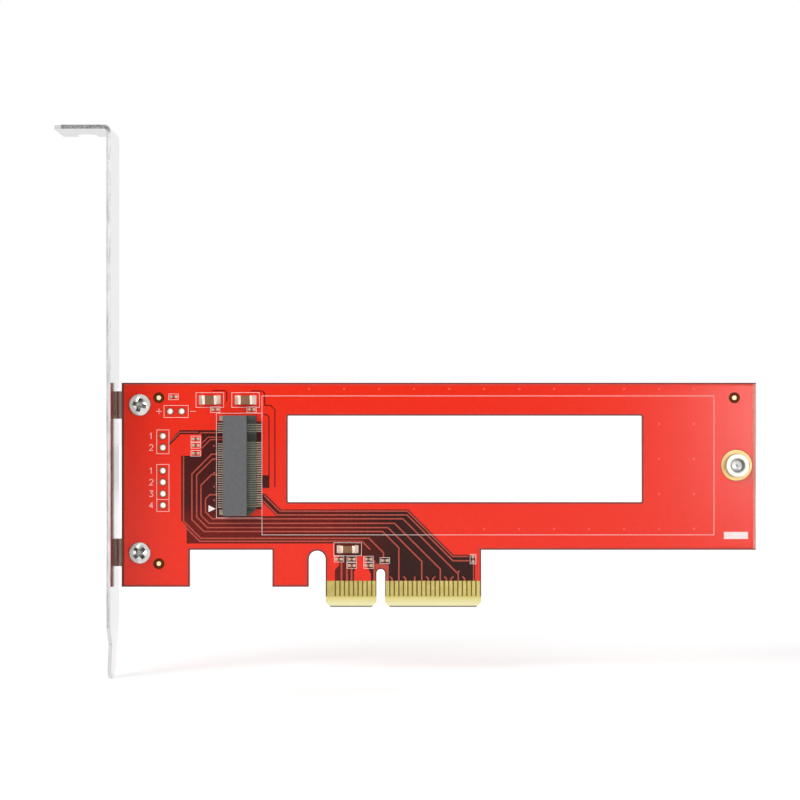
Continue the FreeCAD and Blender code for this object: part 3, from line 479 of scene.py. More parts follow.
def add_strip(bm, points, width, height, closed=False, back=False):
    """A ribbon of one width along points, with mitred corners."""
    count = len(points)
    mitre_limit = 0.3
    sides = []
    for i, (x, z) in enumerate(points):
        here = Vector((x, z))
        ways = []
        if closed or i > 0:
            ways.append((here - Vector(points[i - 1])).normalized())
        if closed or i < count - 1:
            ways.append((Vector(points[(i + 1) % count]) - here).normalized())
        across = [Vector((-way.y, way.x)) for way in ways]
        middle = sum(across, Vector((0, 0))).normalized()
        reach = width / 2 / max(mitre_limit, middle.dot(across[0]))
        sides.append((here + middle * reach, here - middle * reach))
    rows = []
    for left, right in sides:
        low, high = level(0, back), level(height, back)
        corners = ((left, low), (left, high), (right, high), (right, low))
        rows.append([bm.verts.new((point.x, y, point.y)) for point, y in corners])
    for i in range(count if closed else count - 1):
        here, there = rows[i], rows[(i + 1) % count]
        for k in range(4):
            bm.faces.new((here[k], here[(k + 1) % 4], there[(k + 1) % 4], there[k]))
    if not closed:
        bm.faces.new(rows[0])
        bm.faces.new(rows[-1])


def box(left, low, right, high):
    """The corners of a rectangle."""
    return [(left, low), (right, low), (right, high), (left, high)]


def add_frame(bm, left, low, right, high, width, height):
    """A ribbon round a rectangle."""
    add_strip(bm, box(left, low, right, high), width, height, True)


def arc(x, z, radius, start, end, count=16):
    """Points along part of a circle. The angles are degrees."""
    turns = [math.radians(start + (end - start) * i / count) for i in range(count + 1)]
    return [(x + radius * math.cos(turn), z + radius * math.sin(turn)) for turn in turns]


def circle(x, z, radius, count=32):
    """Points round a whole circle."""
    return arc(x, z, radius, 0, 360, count)[:-1]


def join_rows(bm, rows):
    """Faces between each closed row of points and the next."""
    for here, there in zip(rows, rows[1:]):
        for i in range(len(here)):
            bm.faces.new((here[i - 1], here[i], there[i], there[i - 1]))


def add_lathe(bm, x, z, rings, count=48):
    """Rings about an axis along Y, each (radius, y). A radius may be a function of the angle."""
    rows = []
    for radius, y in rings:
        row = []
        for i in range(count):
            turn = 2 * math.pi * i / count
            reach = radius(turn) if callable(radius) else radius
            row.append(bm.verts.new((x + reach * math.cos(turn), y, z + reach * math.sin(turn))))
        rows.append(row)
    join_rows(bm, rows)
    return rows


def add_dome(bm, x, z, radius, height):
    """A small domed disc on the board's face."""
    shoulder, crown = 0.8, 0.6
    rings = [(radius, level(0)), (radius, level(height * shoulder)), (radius * crown, level(height))]
    rows = add_lathe(bm, x, z, rings, 16)
    bm.faces.new(rows[-1])
    bm.faces.new(rows[0])


# The board's artwork

def outer_path(inset):
    """The board's edge from the right of the card edge round to its left, drawn in by inset."""
    step = SHOULDER + inset
    low = FOOT + inset
    slot_radius = (EDGE_LEFT - HOOK_END) / 2
    slot_centre = (EDGE_LEFT + HOOK_END) / 2
    path = [(EDGE_RIGHT - inset, MASK_END), (EDGE_RIGHT - inset, step), (RIGHT - inset, step)]
    path += [(RIGHT - inset, TOP - inset), (LEFT + inset, TOP - inset), (LEFT + inset, low)]
    path += [(FOOT_END - inset, low), (FOOT_END - inset, step), (HOOK_START + inset, step)]
    path += [(HOOK_START + inset, low), (HOOK_END - inset, low)]
    path += arc(slot_centre, SLOT_TOP - slot_radius, slot_radius + inset, 180, 0)
    return path + [(EDGE_LEFT + inset, MASK_END)]


def key_path(inset):
    """The edge of the key notch, up one side and down the other."""
    path = [(-KEY_HALF - inset, MASK_END)]
    path += arc(0, KEY_TOP - KEY_HALF, KEY_HALF + inset, 180, 0)
    return path + [(KEY_HALF + inset, MASK_END)]


def window_path(inset):
    """The window's edge, drawn out by inset."""
    left, low, right, high = WINDOW
    radius = WINDOW_CORNER + inset
    corners = [(right, high, 0), (left, high, 90), (left, low, 180), (right, low, 270)]
    path = []
    for x, z, turn in corners:
        middle_x = x - WINDOW_CORNER if x == right else x + WINDOW_CORNER
        middle_z = z - WINDOW_CORNER if z == high else z + WINDOW_CORNER
        path += arc(middle_x, middle_z, radius, turn, turn + 90, 6)
    return path


def make_pours():
    """Copper under the mask on both faces, pulled back from every cut edge."""
    holes = [circle(x, z, HEADER_GAP, 20) for x, z in HEADER_HOLES]
    bm = bmesh.new()
    edge = outer_path(POUR_INSET) + key_path(POUR_INSET)
    window = window_path(WINDOW_INSET)
    front = [edge, window, circle(*STANDOFF, STANDOFF_GAP)]
    front += [circle(x, z, SCREW_GAP, 24) for x, z in SCREWS]
    add_plate(bm, front + holes, POUR_HEIGHT)
    new_piece("copper_pour_front", bm, POUR)

    bm = bmesh.new()
    corner = edge.index((LEFT + POUR_INSET, TOP - POUR_INSET)) + 1
    bites = []
    for x, z in reversed(SCREWS):
        bites += [(LEFT + POUR_INSET, z + EAR_ROOM), (x + EAR_ROOM, z + EAR_ROOM)]
        bites += [(x + EAR_ROOM, z - EAR_ROOM), (LEFT + POUR_INSET, z - EAR_ROOM)]
    back = [edge[:corner] + bites + edge[corner:], window, circle(*STANDOFF, STANDOFF_BACK_GAP)]
    back += holes + [circle(x, z, PEG_GAP, 20) for x, z in PEGS]
    add_plate(bm, back, POUR_HEIGHT, True)
    new_piece("copper_pour_back", bm, POUR)


def make_rims():
    """Painted shade as a dark line along the routed edges, on both faces, painted shade along the end by
    the bracket, and a painted highlight along the far end on both faces.
    """
    bm = bmesh.new()
    for back in (False, True):
        for path in (outer_path(RIM_WIDTH / 2), key_path(RIM_WIDTH / 2)):
            add_strip(bm, path, RIM_WIDTH, RIM_HEIGHT, False, back)
        add_strip(bm, window_path(RIM_WIDTH / 2), RIM_WIDTH, RIM_HEIGHT, True, back)
    new_piece("routed_edges", bm, EDGE_SHADE)

    bm = bmesh.new()
    x = LEFT + NEAR_WIDTH / 2
    add_strip(bm, [(x, FOOT + RIM_WIDTH), (x, TOP - RIM_WIDTH)], NEAR_WIDTH, POUR_HEIGHT)
    new_piece("bracket_end_edge", bm, BRACKET_END_SHADE)

    bm = bmesh.new()
    x = RIGHT - LIT_WIDTH / 2
    ends = [(x, SHOULDER + RIM_WIDTH), (x, TOP - RIM_WIDTH)]
    for back in (False, True):
        add_strip(bm, ends, LIT_WIDTH, POUR_HEIGHT, False, back)
    new_piece("far_end_edge", bm, FAR_END_HIGHLIGHT)


# Routes of the traces: round the socket's rear corner, along below the window and down to the contacts
CONTACT_TOP = MASK_END
TAIL_END = SOCKET_REAR - 1.3
TRACE_WIDTH, FINE_WIDTH, DROP_WIDTH, GAP_WIDTH = 0.3, 0.24, 0.4, 0.22
NEST = [
    # level at the socket, turn there, left run, turn below, bottom run, far turn, contact
    (33.75, -37.3, -41.65, 19.35, 16.7, 0.4, 4.0),
    (32.7, -37.05, -40.6, 19.9, 17.55, 1.6, 9.05),
    (29.25, -37.3, -39.65, 20.3, 18.5, 3.05, 13.15),
    (24.8, -37.75, -38.65, 21.0, 19.5, 4.9, 17.1),
]


def nest_route(start, turn, run_x, turn_z, low, far, contact):
    """One trace of the nest. Its three slanted stretches lie at 45 degrees."""
    first = turn - run_x
    second = turn_z - low
    third = contact - far
    return [
        (TAIL_END, start), (turn, start), (run_x, start - first), (run_x, turn_z),
        (run_x + second, low), (far, low), (contact, low - third), (contact, CONTACT_TOP),
    ]


OUTER_PAIR = [
    [(-43.5, 33.3), (-43.5, 19.0), (-39.7, 15.2), (-2.6, 15.2), (0.6, 12.0), (0.6, 10.9)],
    [(-43.2, 17.8), (-39.95, 14.55), (-4.15, 14.55), (-2.3, 12.7)],
]
CLOCK_PAIR = [
    [(-26.3, 23.85), (-22.8, 20.35), (5.8, 20.35), (15.9, 10.25), (19.4, 10.25)],
    [(-25.7, 24.65), (-22.25, 21.2), (5.9, 21.2), (15.9, 11.2), (19.4, 11.2)],
]
SIGNALS = [
    [(TAIL_END, 38.5), (-39.6, 38.5), (-40.2, 37.9)],
    [(SOCKET_REAR, 37.5), (-38.1, 37.5), (-39.5, 36.1)],
    [(SOCKET_REAR, 36.95), (-37.6, 36.95), (-40.0, 34.55)],
    [(-40.2, 38.6), (-44.3, 38.6), (-46.9, 36.0)],
]
DROPS = [(-8.65, 9.9), (-7.45, 9.7), (-6.45, 8.8), (-1.4, 10.3)]
END_DROP = [(20.48, 10.0), (20.48, CONTACT_TOP)]
KEY_SURROUND = [
    (-1.15, 8.75), (1.2, 8.75), (1.2, CONTACT_TOP), (1.75, CONTACT_TOP), (1.75, 9.6), (-1.15, 9.6),
]
# Contacts with a short lead, and the way that each lead leans as it leaves
SHORT_LEADS = [(1, -1), (4, -1), (6, 0), (9, -1), (10, 1), (13, -1), (14, 1), (17, -1)]
FIRST_LEAD = 1.5
LEAD_TOP, LEAD_BEND, LEAD_LEAN = 6.75, 6.3, 0.5

# The area without copper round the socket's rear and down to the contacts, and what lies in and near it
LANE_EDGE = [
    (-44.3, 39.05), (-34.0, 39.05), (-34.0, 20.1), (-23.0, 20.1), (-26.5, 23.6), (-26.3, 25.0),
    (-25.5, 25.0), (-22.05, 21.55), (6.05, 21.55), (16.05, 11.55), (19.7, 11.55), (20.8, 10.85),
    (20.8, CONTACT_TOP), (1.75, CONTACT_TOP), (1.75, 9.6), (-1.15, 9.6), (-1.15, CONTACT_TOP),
    (-10.1, CONTACT_TOP), (-10.1, 8.3), (-9.2, 9.2), (-9.2, 11.3), (-10.2, 11.3), (-10.2, 14.05),
    (-42.8, 14.05), (-42.8, 17.9), (-44.0, 19.1), (-44.0, 33.4), (-39.5, 33.4), (-39.5, 38.15),
    (-44.15, 38.15), (-46.6, 35.7), (-47.0, 36.1),
]
RED_PATCH = [
    (-5.9, CONTACT_TOP), (-2.15, CONTACT_TOP), (-2.15, 7.3), (-3.05, 9.1), (-3.25, 11.3),
    (-5.25, 11.3), (-5.25, 9.1), (-5.9, 7.75),
]
CLEARANCES = [
    [(-28.6, 47.7), (-26.15, 47.7), (-25.6, 47.15), (-25.6, 44.5), (-24.3, 44.5), (-23.35, 43.55),
     (-23.35, 26.5)],
    [(-25.8, 42.5), (-25.2, 42.5), (-24.65, 41.95), (-24.65, 29.1)],
    [(-37.1, 47.8), (-34.4, 47.8), (-33.95, 47.35), (-33.95, 45.3)],
]
NOTCH = box(-26.2, 26.3, -24.55, 29.1)
TAIL_BEDS = [box(-36.05, 21.4, SOCKET_REAR, 41.0), box(SOCKET_LIP, 21.6, -26.35, 40.95)]

# Vias under the mask: the stitching grid, a row behind the socket and one near the card edge's end
VIA_PITCH, VIA_RADIUS = 7.72, 0.26
VIA_START = (61.4, 17.25)
SOCKET_VIAS = [(-36.75, 35.6 - 3.0 * i) for i in range(5)]
SOCKET_VIA_RADIUS = 0.22
END_VIA = (17.15, 7.85)
END_VIA_RADIUS = 0.24


def via_places():
    """Stitching vias on one grid: along the strips above and below the window and over the far end."""
    x, z = VIA_START
    places = [(x - VIA_PITCH * i, z) for i in range(6)]
    places += [(x - VIA_PITCH * i, z + 4 * VIA_PITCH) for i in range(1, 11)]
    places += [(x, z + VIA_PITCH * i) for i in range(1, 5)]
    places += [(x + VIA_PITCH, z + VIA_PITCH * i) for i in range(5)]
    return places


def make_artwork():
    """Lanes without copper, the traces in them, and the tented holes between the layers."""
    bm = bmesh.new()
    add_plate(bm, [LANE_EDGE], LANE_HEIGHT)
    add_plate(bm, [NOTCH], LANE_HEIGHT)
    for bed in TAIL_BEDS:
        add_plate(bm, [bed], PATCH_HEIGHT)
    for route in CLEARANCES:
        add_strip(bm, route, GAP_WIDTH, LANE_HEIGHT)
    new_piece("lanes_without_copper", bm, LANE)

    bm = bmesh.new()
    add_plate(bm, [RED_PATCH], PATCH_HEIGHT)
    new_piece("copper_patch", bm, POUR)

    bm = bmesh.new()
    for x, z in via_places():
        add_dome(bm, x, z, VIA_RADIUS, PATCH_HEIGHT)
    new_piece("tented_vias", bm, TENTED)

    bm = bmesh.new()
    for lane in NEST:
        add_strip(bm, nest_route(*lane), TRACE_WIDTH, TRACE_HEIGHT)
    for route in OUTER_PAIR + CLOCK_PAIR:
        add_strip(bm, route, TRACE_WIDTH, TRACE_HEIGHT)
    for route in SIGNALS:
        add_strip(bm, route, FINE_WIDTH, TRACE_HEIGHT)
    for x, z in SOCKET_VIAS:
        add_dome(bm, x, z, SOCKET_VIA_RADIUS, PAD_HEIGHT)
    for x, top in DROPS:
        add_strip(bm, [(x, top), (x, CONTACT_TOP)], DROP_WIDTH, TRACE_HEIGHT)
    for number, way in SHORT_LEADS:
        x = FIRST_LEAD + number
        lead = [(x + LEAD_LEAN * way, LEAD_TOP), (x, LEAD_BEND), (x, CONTACT_TOP)]
        add_strip(bm, lead, TRACE_WIDTH, TRACE_HEIGHT)
    add_strip(bm, END_DROP, GAP_WIDTH, TRACE_HEIGHT)
    add_dome(bm, *END_VIA, END_VIA_RADIUS, PAD_HEIGHT)
    add_plate(bm, [KEY_SURROUND], PATCH_HEIGHT)
    new_piece("traces", bm, TRACE)


# Outer and inner radius of the bare rings, and the width of the one round the standoff's land
DOT_RING = (1.22, 0.45)
HEADER_RING = (0.88, 0.71)
SEAT_RING_WIDTH = 0.1


def make_clear_rings():
    """Rings of bare laminate round the alignment dots, the header lands and the standoff's land."""
    bm = bmesh.new()
    for x, z in FIDUCIALS:
        add_plate(bm, [circle(x, z, radius) for radius in DOT_RING], RING_HEIGHT)
    for x, z in HEADER_HOLES:
        add_plate(bm, [circle(x, z, radius) for radius in HEADER_RING], PAD_HEIGHT)
    seat_radii = (STANDOFF_LAND + SEAT_RING_WIDTH, STANDOFF_LAND)
    add_plate(bm, [circle(*STANDOFF, radius, 48) for radius in seat_radii], RING_HEIGHT)
    new_piece("clear_rings", bm, CLEAR)


# Ink

LINE = 0.09
BOX_LINE = 0.085
DIGIT_LINE = 0.11
# Rectangles as their left, low, right and high side
SOCKET_OUTLINE = (-36.25, 19.7, -26.2, 42.8)
MODULE_OUTLINE = (-26.2, 15.95, 73.5, 46.6)
HEADER_BOXES = [(-47.8, 41.85, -42.45, 44.5), (-49.4, 33.85, -46.7, 39.1), (-49.4, 21.1, -46.7, 31.5)]
LAST_PIN_LINE = [(-49.4, 23.75), (-46.7, 23.75)]
WHITE_BAR = (75.7, 15.05, 81.0, 16.6)
TRIANGLE = [(-38.0, 22.5), (-36.4, 21.7), (-38.0, 21.0)]
LED_LEVEL = LED_HOLES[0][1]
PLUS, MINUS, SIGN_ARM = -48.9, -41.4, 0.62
# Room in a frame past a chip's ends and past its sides
BULK_ROOM, CHIP_ROOM = (1.45, 0.62), (0.5, 0.36)
DIGIT_COLUMN = -51.0
DIGIT_HEIGHT = 1.25
DIGITS = {
    "1": [[(0.1, 0.8), (0.3, 1.0), (0.3, 0.0)]],
    "2": [[(0.0, 0.8), (0.15, 1.0), (0.45, 1.0), (0.6, 0.8), (0.6, 0.6), (0.0, 0.0), (0.6, 0.0)]],
    "3": [[(0.0, 1.0), (0.6, 1.0), (0.3, 0.62), (0.6, 0.36), (0.45, 0.0), (0.15, 0.0), (0.0, 0.15)]],
    "4": [[(0.45, 0.0), (0.45, 1.0)], [(0.45, 1.0), (0.0, 0.32), (0.6, 0.32)]],
}


def add_digit(bm, digit, x, z):
    """A plain number whose lower left corner is at x, z."""
    for height, stroke in zip((INK_HEIGHT, OVER_INK), DIGITS[digit]):
        points = [(x + across * DIGIT_HEIGHT, z + up * DIGIT_HEIGHT) for across, up in stroke]
        add_strip(bm, points, DIGIT_LINE, height)


def make_ink():
    """White marking: the module's and the socket's outlines, boxes round parts, and plain numbers."""
    bm = bmesh.new()
    left, low, right, high = MODULE_OUTLINE
    _, socket_low, _, socket_high = SOCKET_OUTLINE
    module = [(left, socket_high), (left, high), (right, high)]
    module += [(right, low), (left, low), (left, socket_low)]
    add_strip(bm, module, LINE, INK_HEIGHT)
    add_frame(bm, *SOCKET_OUTLINE, LINE, OVER_INK)
    new_piece("outline_ink", bm, INK)

    bm = bmesh.new()
    chips = sorted(node for node in nodes if node.endswith("_end_caps"))
    for number, node in enumerate(chips):
        low, high = place_of(node)
        reach, side = BULK_ROOM if node.startswith("bulk") else CHIP_ROOM
        upright = high.z - low.z > high.x - low.x
        if upright:
            reach, side = side, reach
        # frames that touch stand at heights of their own
        height = INK_HEIGHT + 0.001 * number
        add_frame(bm, low.x - reach, low.z - side, high.x + reach, high.z + side, BOX_LINE, height)
    for sides in HEADER_BOXES:
        add_frame(bm, *sides, BOX_LINE, INK_HEIGHT)
    add_strip(bm, LAST_PIN_LINE, BOX_LINE, OVER_INK)
    for x in (PLUS, MINUS):
        add_strip(bm, [(x - SIGN_ARM, LED_LEVEL), (x + SIGN_ARM, LED_LEVEL)], BOX_LINE, INK_HEIGHT)
    add_strip(bm, [(PLUS, LED_LEVEL - SIGN_ARM), (PLUS, LED_LEVEL + SIGN_ARM)], BOX_LINE, OVER_INK)
    new_piece("part_box_ink", bm, INK)

    bm = bmesh.new()
    for holes in (TWO_WAY_HOLES, FOUR_WAY_HOLES):
        for number, (_, z) in enumerate(holes, 1):
            add_digit(bm, str(number), DIGIT_COLUMN, z - DIGIT_HEIGHT / 2)
    new_piece("pin_number_ink", bm, INK)

    bm = bmesh.new()
    add_plate(bm, [TRIANGLE], INK_HEIGHT)
    add_plate(bm, [box(*WHITE_BAR)], INK_HEIGHT)
    new_piece("solid_ink", bm, INK)


# Solder

# How far solder runs past a part's end and how much wider than the part its pad is
BULK_FILLET, CHIP_FILLET = (0.82, 0.28), (0.34, 0.16)
# Share of a part's height that the solder climbs
FILLET_RISE = 0.36
SOCKET_PITCH = 0.5
SOCKET_ROWS = [
    # positions in the row, first of those that the key takes, inner and outer end of the row's pads
    (38, 5, SOCKET_REAR, -35.95),
    (37, 4, SOCKET_LIP, -26.5),
]
KEY_POSITIONS = 4
PAD_WIDTH = 0.24


def add_fillet(bm, start, way, across, reach, width, rise):
    """Solder that climbs from the board up the end of a part, on a pad that runs a little under it."""
    steps, lanes = 6, 8
    sag, droop, taper = 1.2, 0.4, 0.12
    rows = []
    for i in range(steps + 1):
        u = i / steps
        row = []
        for k in range(lanes + 1):
            v = 2 * k / lanes - 1
            height = PAD_HEIGHT + rise * (1 - u) ** sag * (1 - droop * v ** 4)
            point = start + way * (reach * u) + across * (width / 2 * v * (1 - taper * u * u))
            row.append(bm.verts.new((point.x, level(height), point.y)))
        rows.append(row)
    for here, there in zip(rows, rows[1:]):
        for k in range(lanes):
            bm.faces.new((here[k], here[k + 1], there[k + 1], there[k]))
    rim = rows[0] + [row[-1] for row in rows[1:-1]] + rows[-1][::-1] + [row[0] for row in rows[-2:0:-1]]
    floor = [bm.verts.new((vert.co.x, level(0), vert.co.z)) for vert in rim]
    for i in range(len(rim)):
        bm.faces.new((rim[i - 1], rim[i], floor[i], floor[i - 1]))
    bm.faces.new(floor)


def make_fillets(name, bulk, material):
    """Solder at both ends of the large capacitors, or of the small chips."""
    bm = bmesh.new()
    reach, margin = BULK_FILLET if bulk else CHIP_FILLET
    for node in sorted(nodes):
        if not node.endswith("_end_caps") or node.startswith("bulk") != bulk:
            continue
        low, high = place_of(node)
        size = high - low
        middle = Vector(((low.x + high.x) / 2, (low.z + high.z) / 2))
        if size.z > size.x:
            way, across, long, wide = Vector((0, 1)), Vector((1, 0)), size.z, size.x
        else:
            way, across, long, wide = Vector((1, 0)), Vector((0, 1)), size.x, size.z
        for sign in (-1, 1):
            end = middle + way * (sign * long / 2)
            add_fillet(bm, end, way * sign, across, reach, wide + margin, size.y * FILLET_RISE)
    new_piece(name, bm, material, True)


def make_socket_pads():
    """The tinned pad under each of the socket's solder tails."""
    bm = bmesh.new()
    for positions, key_start, inner, outer in SOCKET_ROWS:
        top = MODULE_LEVEL + (positions - 1) / 2 * SOCKET_PITCH
        for number in range(positions):
            if key_start <= number < key_start + KEY_POSITIONS:
                continue
            z = top - number * SOCKET_PITCH
            add_strip(bm, [(inner, z), (outer, z)], PAD_WIDTH, PAD_HEIGHT)
    new_piece("socket_pads", bm, TIN)


# Screws and standoff with their threads

SHARP_ANGLE = math.radians(35)


def thread_radius(y, pitch, crest, root):
    """Radius of a thread at height y as a function of the angle."""
    def radius(turn):
        phase = (y / pitch - turn / (2 * math.pi)) % 1
        return root + (crest - root) * abs(2 * phase - 1)
    return radius


def cross_cutter(x, z, turn):
    """The tapered cross that a driver fits, as a mesh object that cuts a screw's head."""
    # height above the board, half the span and half a wing's width, from above the head down to the point
    sections = ((1.9, 1.75, 0.5), (0.7, 1.05, 0.34), (0.3, 0.34, 0.28))
    bm = bmesh.new()
    rows = []
    for height, span, wing in sections:
        quarter = [(wing, -span), (wing, -wing), (span, -wing)]
        row = []
        for _ in range(4):
            for a, b in quarter:
                px = a * math.cos(turn) - b * math.sin(turn)
                pz = a * math.sin(turn) + b * math.cos(turn)
                row.append(bm.verts.new((x + px, FACE - height, z + pz)))
            quarter = [(-b, a) for a, b in quarter]
        rows.append(row)
    join_rows(bm, rows)
    bm.faces.new(rows[0])
    bm.faces.new(rows[-1])
    # the faces that it cuts carry the painted shade
    return new_object("cross_cutter", bm, RECESS_SHADE)


def make_screw(name, x, z, turn):
    """A pan-head screw with a cross recess and a rolled thread."""
    head, rim, tall, head_chamfer = 2.5, 0.55, 1.65, 0.06
    crest, root, length, pitch, point = 1.25, 1.06, 4.0, 0.5, 0.45
    root_loss, crest_loss = 0.25, 0.5
    dome_steps, thread_steps = 12, 56
    fullness = 0.9
    dome = tall - rim
    rings = [(0.001, FACE - tall)]
    for i in range(1, dome_steps + 1):
        lean = math.pi / 2 * i / dome_steps
        rings.append((head * math.sin(lean) ** fullness, FACE - rim - dome * math.cos(lean)))
    rings += [(head, FACE - rim * 0.5), (head - head_chamfer, FACE), (crest, FACE)]
    for i in range(1, thread_steps + 1):
        y = length * (i / thread_steps)
        # the thread narrows and runs out over the point
        fade = min(1.0, (length - y) / point)
        inner = root - root_loss * (1 - fade)
        outer = max(inner, crest - crest_loss * (1 - fade))
        rings.append((thread_radius(y, pitch, outer, inner), FACE + y))
    bm = bmesh.new()
    rows = add_lathe(bm, x, z, rings, 48)
    bm.faces.new(rows[0])
    bm.faces.new(rows[-1])
    piece = new_piece(name, bm, SCREW, True)
    cutter = cross_cutter(x, z, turn)
    cut = piece.modifiers.new("recess", "BOOLEAN")
    cut.operation = "DIFFERENCE"
    cut.solver = "EXACT"
    cut.material_mode = "TRANSFER"
    cut.object = cutter
    bpy.context.view_layer.update()
    evaluated = piece.evaluated_get(bpy.context.evaluated_depsgraph_get())
    carved = bpy.data.meshes.new_from_object(evaluated)
    piece.modifiers.clear()
    piece.data = carved
    bpy.data.objects.remove(cutter)
    carved.set_sharp_from_angle(angle=SHARP_ANGLE)
    return piece


def make_standoff():
    """The turned standoff with its blind threaded bore, whose floor has a centre dimple."""
    x, z = STANDOFF
    seat, wall, shank, plating = 2.45, 2.6, 2.1, 0.05
    bore, groove, pitch = 1.25, 1.45, 0.5
    foot_chamfer, rim_chamfer = 0.15, 0.12
    mouth, mouth_depth = bore + 0.42, 0.2
    drill_end, dimple = FACE + 0.35, 0.34
    top = FACE - seat
    rings = [(shank - foot_chamfer, BACK), (shank, BACK - foot_chamfer), (shank, FACE - plating)]
    rings += [(wall, FACE - plating), (wall, top + rim_chamfer), (wall - rim_chamfer, top)]
    rings += [(mouth, top), (groove, top + mouth_depth)]
    thread_steps = 48
    start, end = top + 0.25, drill_end - 0.1
    for i in range(thread_steps + 1):
        y = start + (end - start) * i / thread_steps
        rings.append((thread_radius(y, pitch, groove, bore), y))
    # the floor slopes gently to the dimple in its middle
    rings += [(bore - 0.01, drill_end), (bore - 0.25, drill_end + 0.1)]
    rings += [(dimple, drill_end + 0.18), (dimple / 5, drill_end + 0.65)]
    bm = bmesh.new()
    rows = add_lathe(bm, x, z, rings, 64)
    bm.faces.new(rows[0])
    bm.faces.new(rows[-1])
    piece = new_piece("standoff_with_thread", bm, TURNED, True)
    piece.data.set_sharp_from_angle(angle=SHARP_ANGLE)
    piece.data.materials.append(BORE_SHADE)
    piece.data.materials.append(LIT_BORE_FLOOR)
    # the thread in the bore gets painted shade, and the bore's floor painted light
    bore_shade_index, lit_floor_index = 1, 2
    axis = Vector((x, z)) * MM
    for polygon in piece.data.polygons:
        reach = Vector((polygon.center.x, polygon.center.z)) - axis
        depth = polygon.center.y / MM
        if reach.length < groove * MM and depth < BACK - foot_chamfer:
            polygon.material_index = bore_shade_index if depth < drill_end else lit_floor_index
    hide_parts("module_standoff")


# The card's own solids

def dress(node, material, bevel=0.0):
    """Give a solid its material, and break its sharp edges by bevel mm."""
    piece = nodes[node]
    piece.data.materials.clear()
    piece.data.materials.append(material)
    if bevel:
        weld = piece.modifiers.new("weld", "WELD")
        weld.merge_threshold = 1e-6
        edge = piece.modifiers.new("edge", "BEVEL")
        edge.width = bevel * MM
        edge.segments = 2
        edge.limit_method = "ANGLE"
        edge.angle_limit = math.radians(40)
        edge.use_clamp_overlap = True
        piece.modifiers.new("normals", "WEIGHTED_NORMAL")


MATERIAL_OF = {
    "circuit_board": BOARD,
    "bracket": STEEL,
    "bracket_screws": SCREW,
    "socket_housing": HOUSING,
    "socket_contacts_lower": SPRING,
    "socket_contacts_upper": TIN,
    "socket_hold_downs": TIN,
    "module_standoff": TURNED,
    "standoff_land": SEAT,
    "fiducials": DOT,
}


def dress_solids():
    """Give every solid of the card its material."""
    for node in nodes:
        if node in MATERIAL_OF:
            dress(node, MATERIAL_OF[node])
        elif node.endswith("header_lands"):
            dress(node, LAND)
        elif node.endswith("_end_caps"):
            dress(node, SOLDER if node.startswith("bulk") else DULL_SOLDER, bevel=0.04)
        elif "capacitor" in node:
            dress(node, CERAMIC, bevel=0.03)
        elif "resistor" in node:
            dress(node, RESISTOR, bevel=0.02)
        else:
            dress(node, GOLD)


# Stage, light and camera

def make_floor():
    """A pale floor, lifted to white for the camera, but less so near the card, where its shadow falls."""
    half, gap = 3000, 0.05
    near, far, mirrored = 0.42, 0.8, 0.42
    paint = Paint("pale_floor")
    distance = paint.add("ShaderNodeVectorMath", operation="LENGTH")
    paint.feed(distance.inputs[0], paint.place)
    lift = paint.spread(distance.outputs["Value"], near, far, 0.2, 1.2)
    path = paint.add("ShaderNodeLightPath")
    seen = paint.math("MULTIPLY", path.outputs["Is Camera Ray"], lift)
    gloss = paint.math("MULTIPLY", path.outputs["Is Glossy Ray"], mirrored)
    paint.feed(paint.shader.inputs["Emission Color"], (1, 1, 1, 1))
    paint.feed(paint.shader.inputs["Emission Strength"], paint.math("ADD", seen, gloss))
    bm = bmesh.new()
    height = cad_box[0].z / MM - gap
    bm.faces.new([bm.verts.new((x, y, height)) for x, y in box(-half, -half, half, half)])
    floor = new_object("floor", bm, paint.finish((0.9, 0.9, 0.9, 1), 0.9, specular=0.0))


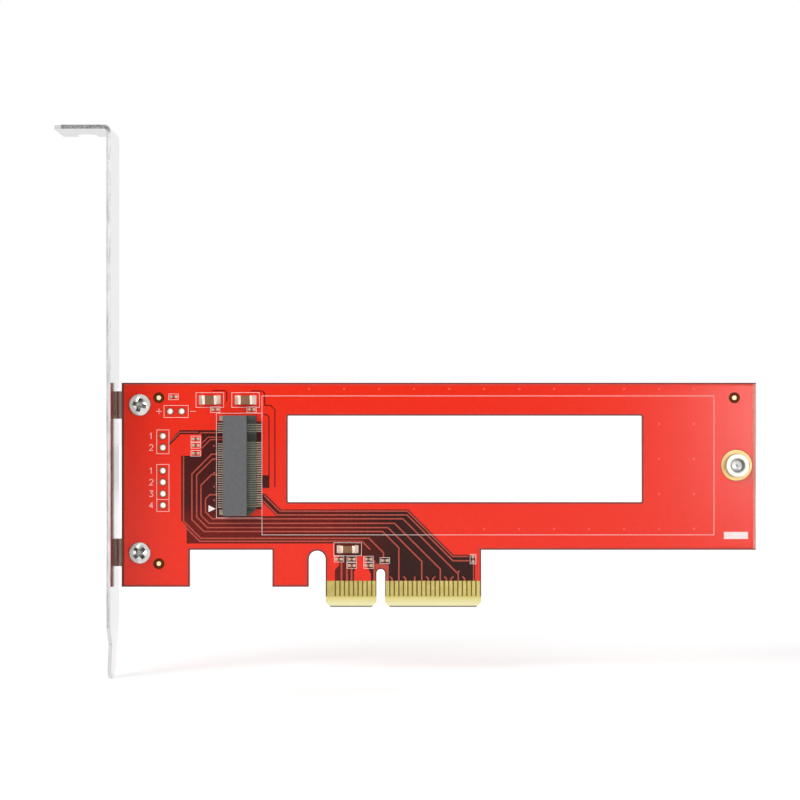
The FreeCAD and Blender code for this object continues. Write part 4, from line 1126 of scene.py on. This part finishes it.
def make_world():
    """White for the camera, a dark room in front of the card for its gloss, and an even light elsewhere."""
    dark, bright, even = 0.15, 1.0, 0.4
    world = bpy.data.worlds.new("studio")
    bpy.context.scene.world = world
    world.use_nodes = True
    wiring = Wiring(world.node_tree, "Generated")
    room = wiring.spread(wiring.axis("Y"), dark, bright, -1.0, -0.7)
    path = wiring.add("ShaderNodeLightPath")
    reflected = wiring.spread(path.outputs["Is Glossy Ray"], even, room, 0.0, 1.0)
    strength = wiring.math("MAXIMUM", path.outputs["Is Camera Ray"], reflected)
    background = world.node_tree.nodes["Background"]
    wiring.feed(background.inputs["Color"], (1, 1, 1, 1))
    wiring.feed(background.inputs["Strength"], strength)


def make_lamp(name, place, target, size, power):
    """A square lamp at place that faces target. Lengths are metres and power is watts."""
    data = bpy.data.lights.new(name, "AREA")
    data.shape = "SQUARE"
    data.size = size
    data.energy = power
    lamp = bpy.data.objects.new(name, data)
    lamp.location = place
    lamp.rotation_euler = (Vector(target) - Vector(place)).to_track_quat("-Z", "Y").to_euler()
    bpy.context.scene.collection.objects.link(lamp)


def make_camera():
    """A long lens straight in front of the card."""
    across, distance, height = 4.25, 600, 45.7
    data = bpy.data.cameras.new("camera")
    data.sensor_width = 36
    data.lens = 122.4
    camera = bpy.data.objects.new("camera", data)
    camera.location = (across * MM, (FACE - distance) * MM, height * MM)
    camera.rotation_euler = (math.pi / 2, 0, 0)
    bpy.context.scene.collection.objects.link(camera)
    bpy.context.scene.camera = camera


dress_solids()
make_pours()
make_rims()
make_artwork()
make_clear_rings()
make_ink()
make_fillets("capacitor_fillets", True, SOLDER)
make_fillets("chip_fillets", False, DULL_SOLDER)
make_socket_pads()
upper = make_screw("upper_bracket_screw", *SCREWS[1], math.radians(-14))
lower = make_screw("lower_bracket_screw", *SCREWS[0], math.radians(42))
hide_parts("bracket_screws")
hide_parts("bracket_screws")
make_standoff()

make_floor()
make_world()
make_lamp("key", place=(-0.5, -0.8, 0.6), target=(0, 0, 0.03), size=0.6, power=5.5)
make_lamp("side", place=(0.352, -1.0, 0.06), target=(0.03, 0, 0.03), size=0.3, power=3.0)
make_lamp("rear", place=(0.4, 0.9, 0.6), target=(0, 0, 0.03), size=0.6, power=2.5)
make_camera()
bpy.context.scene.view_settings.view_transform = "Standard"
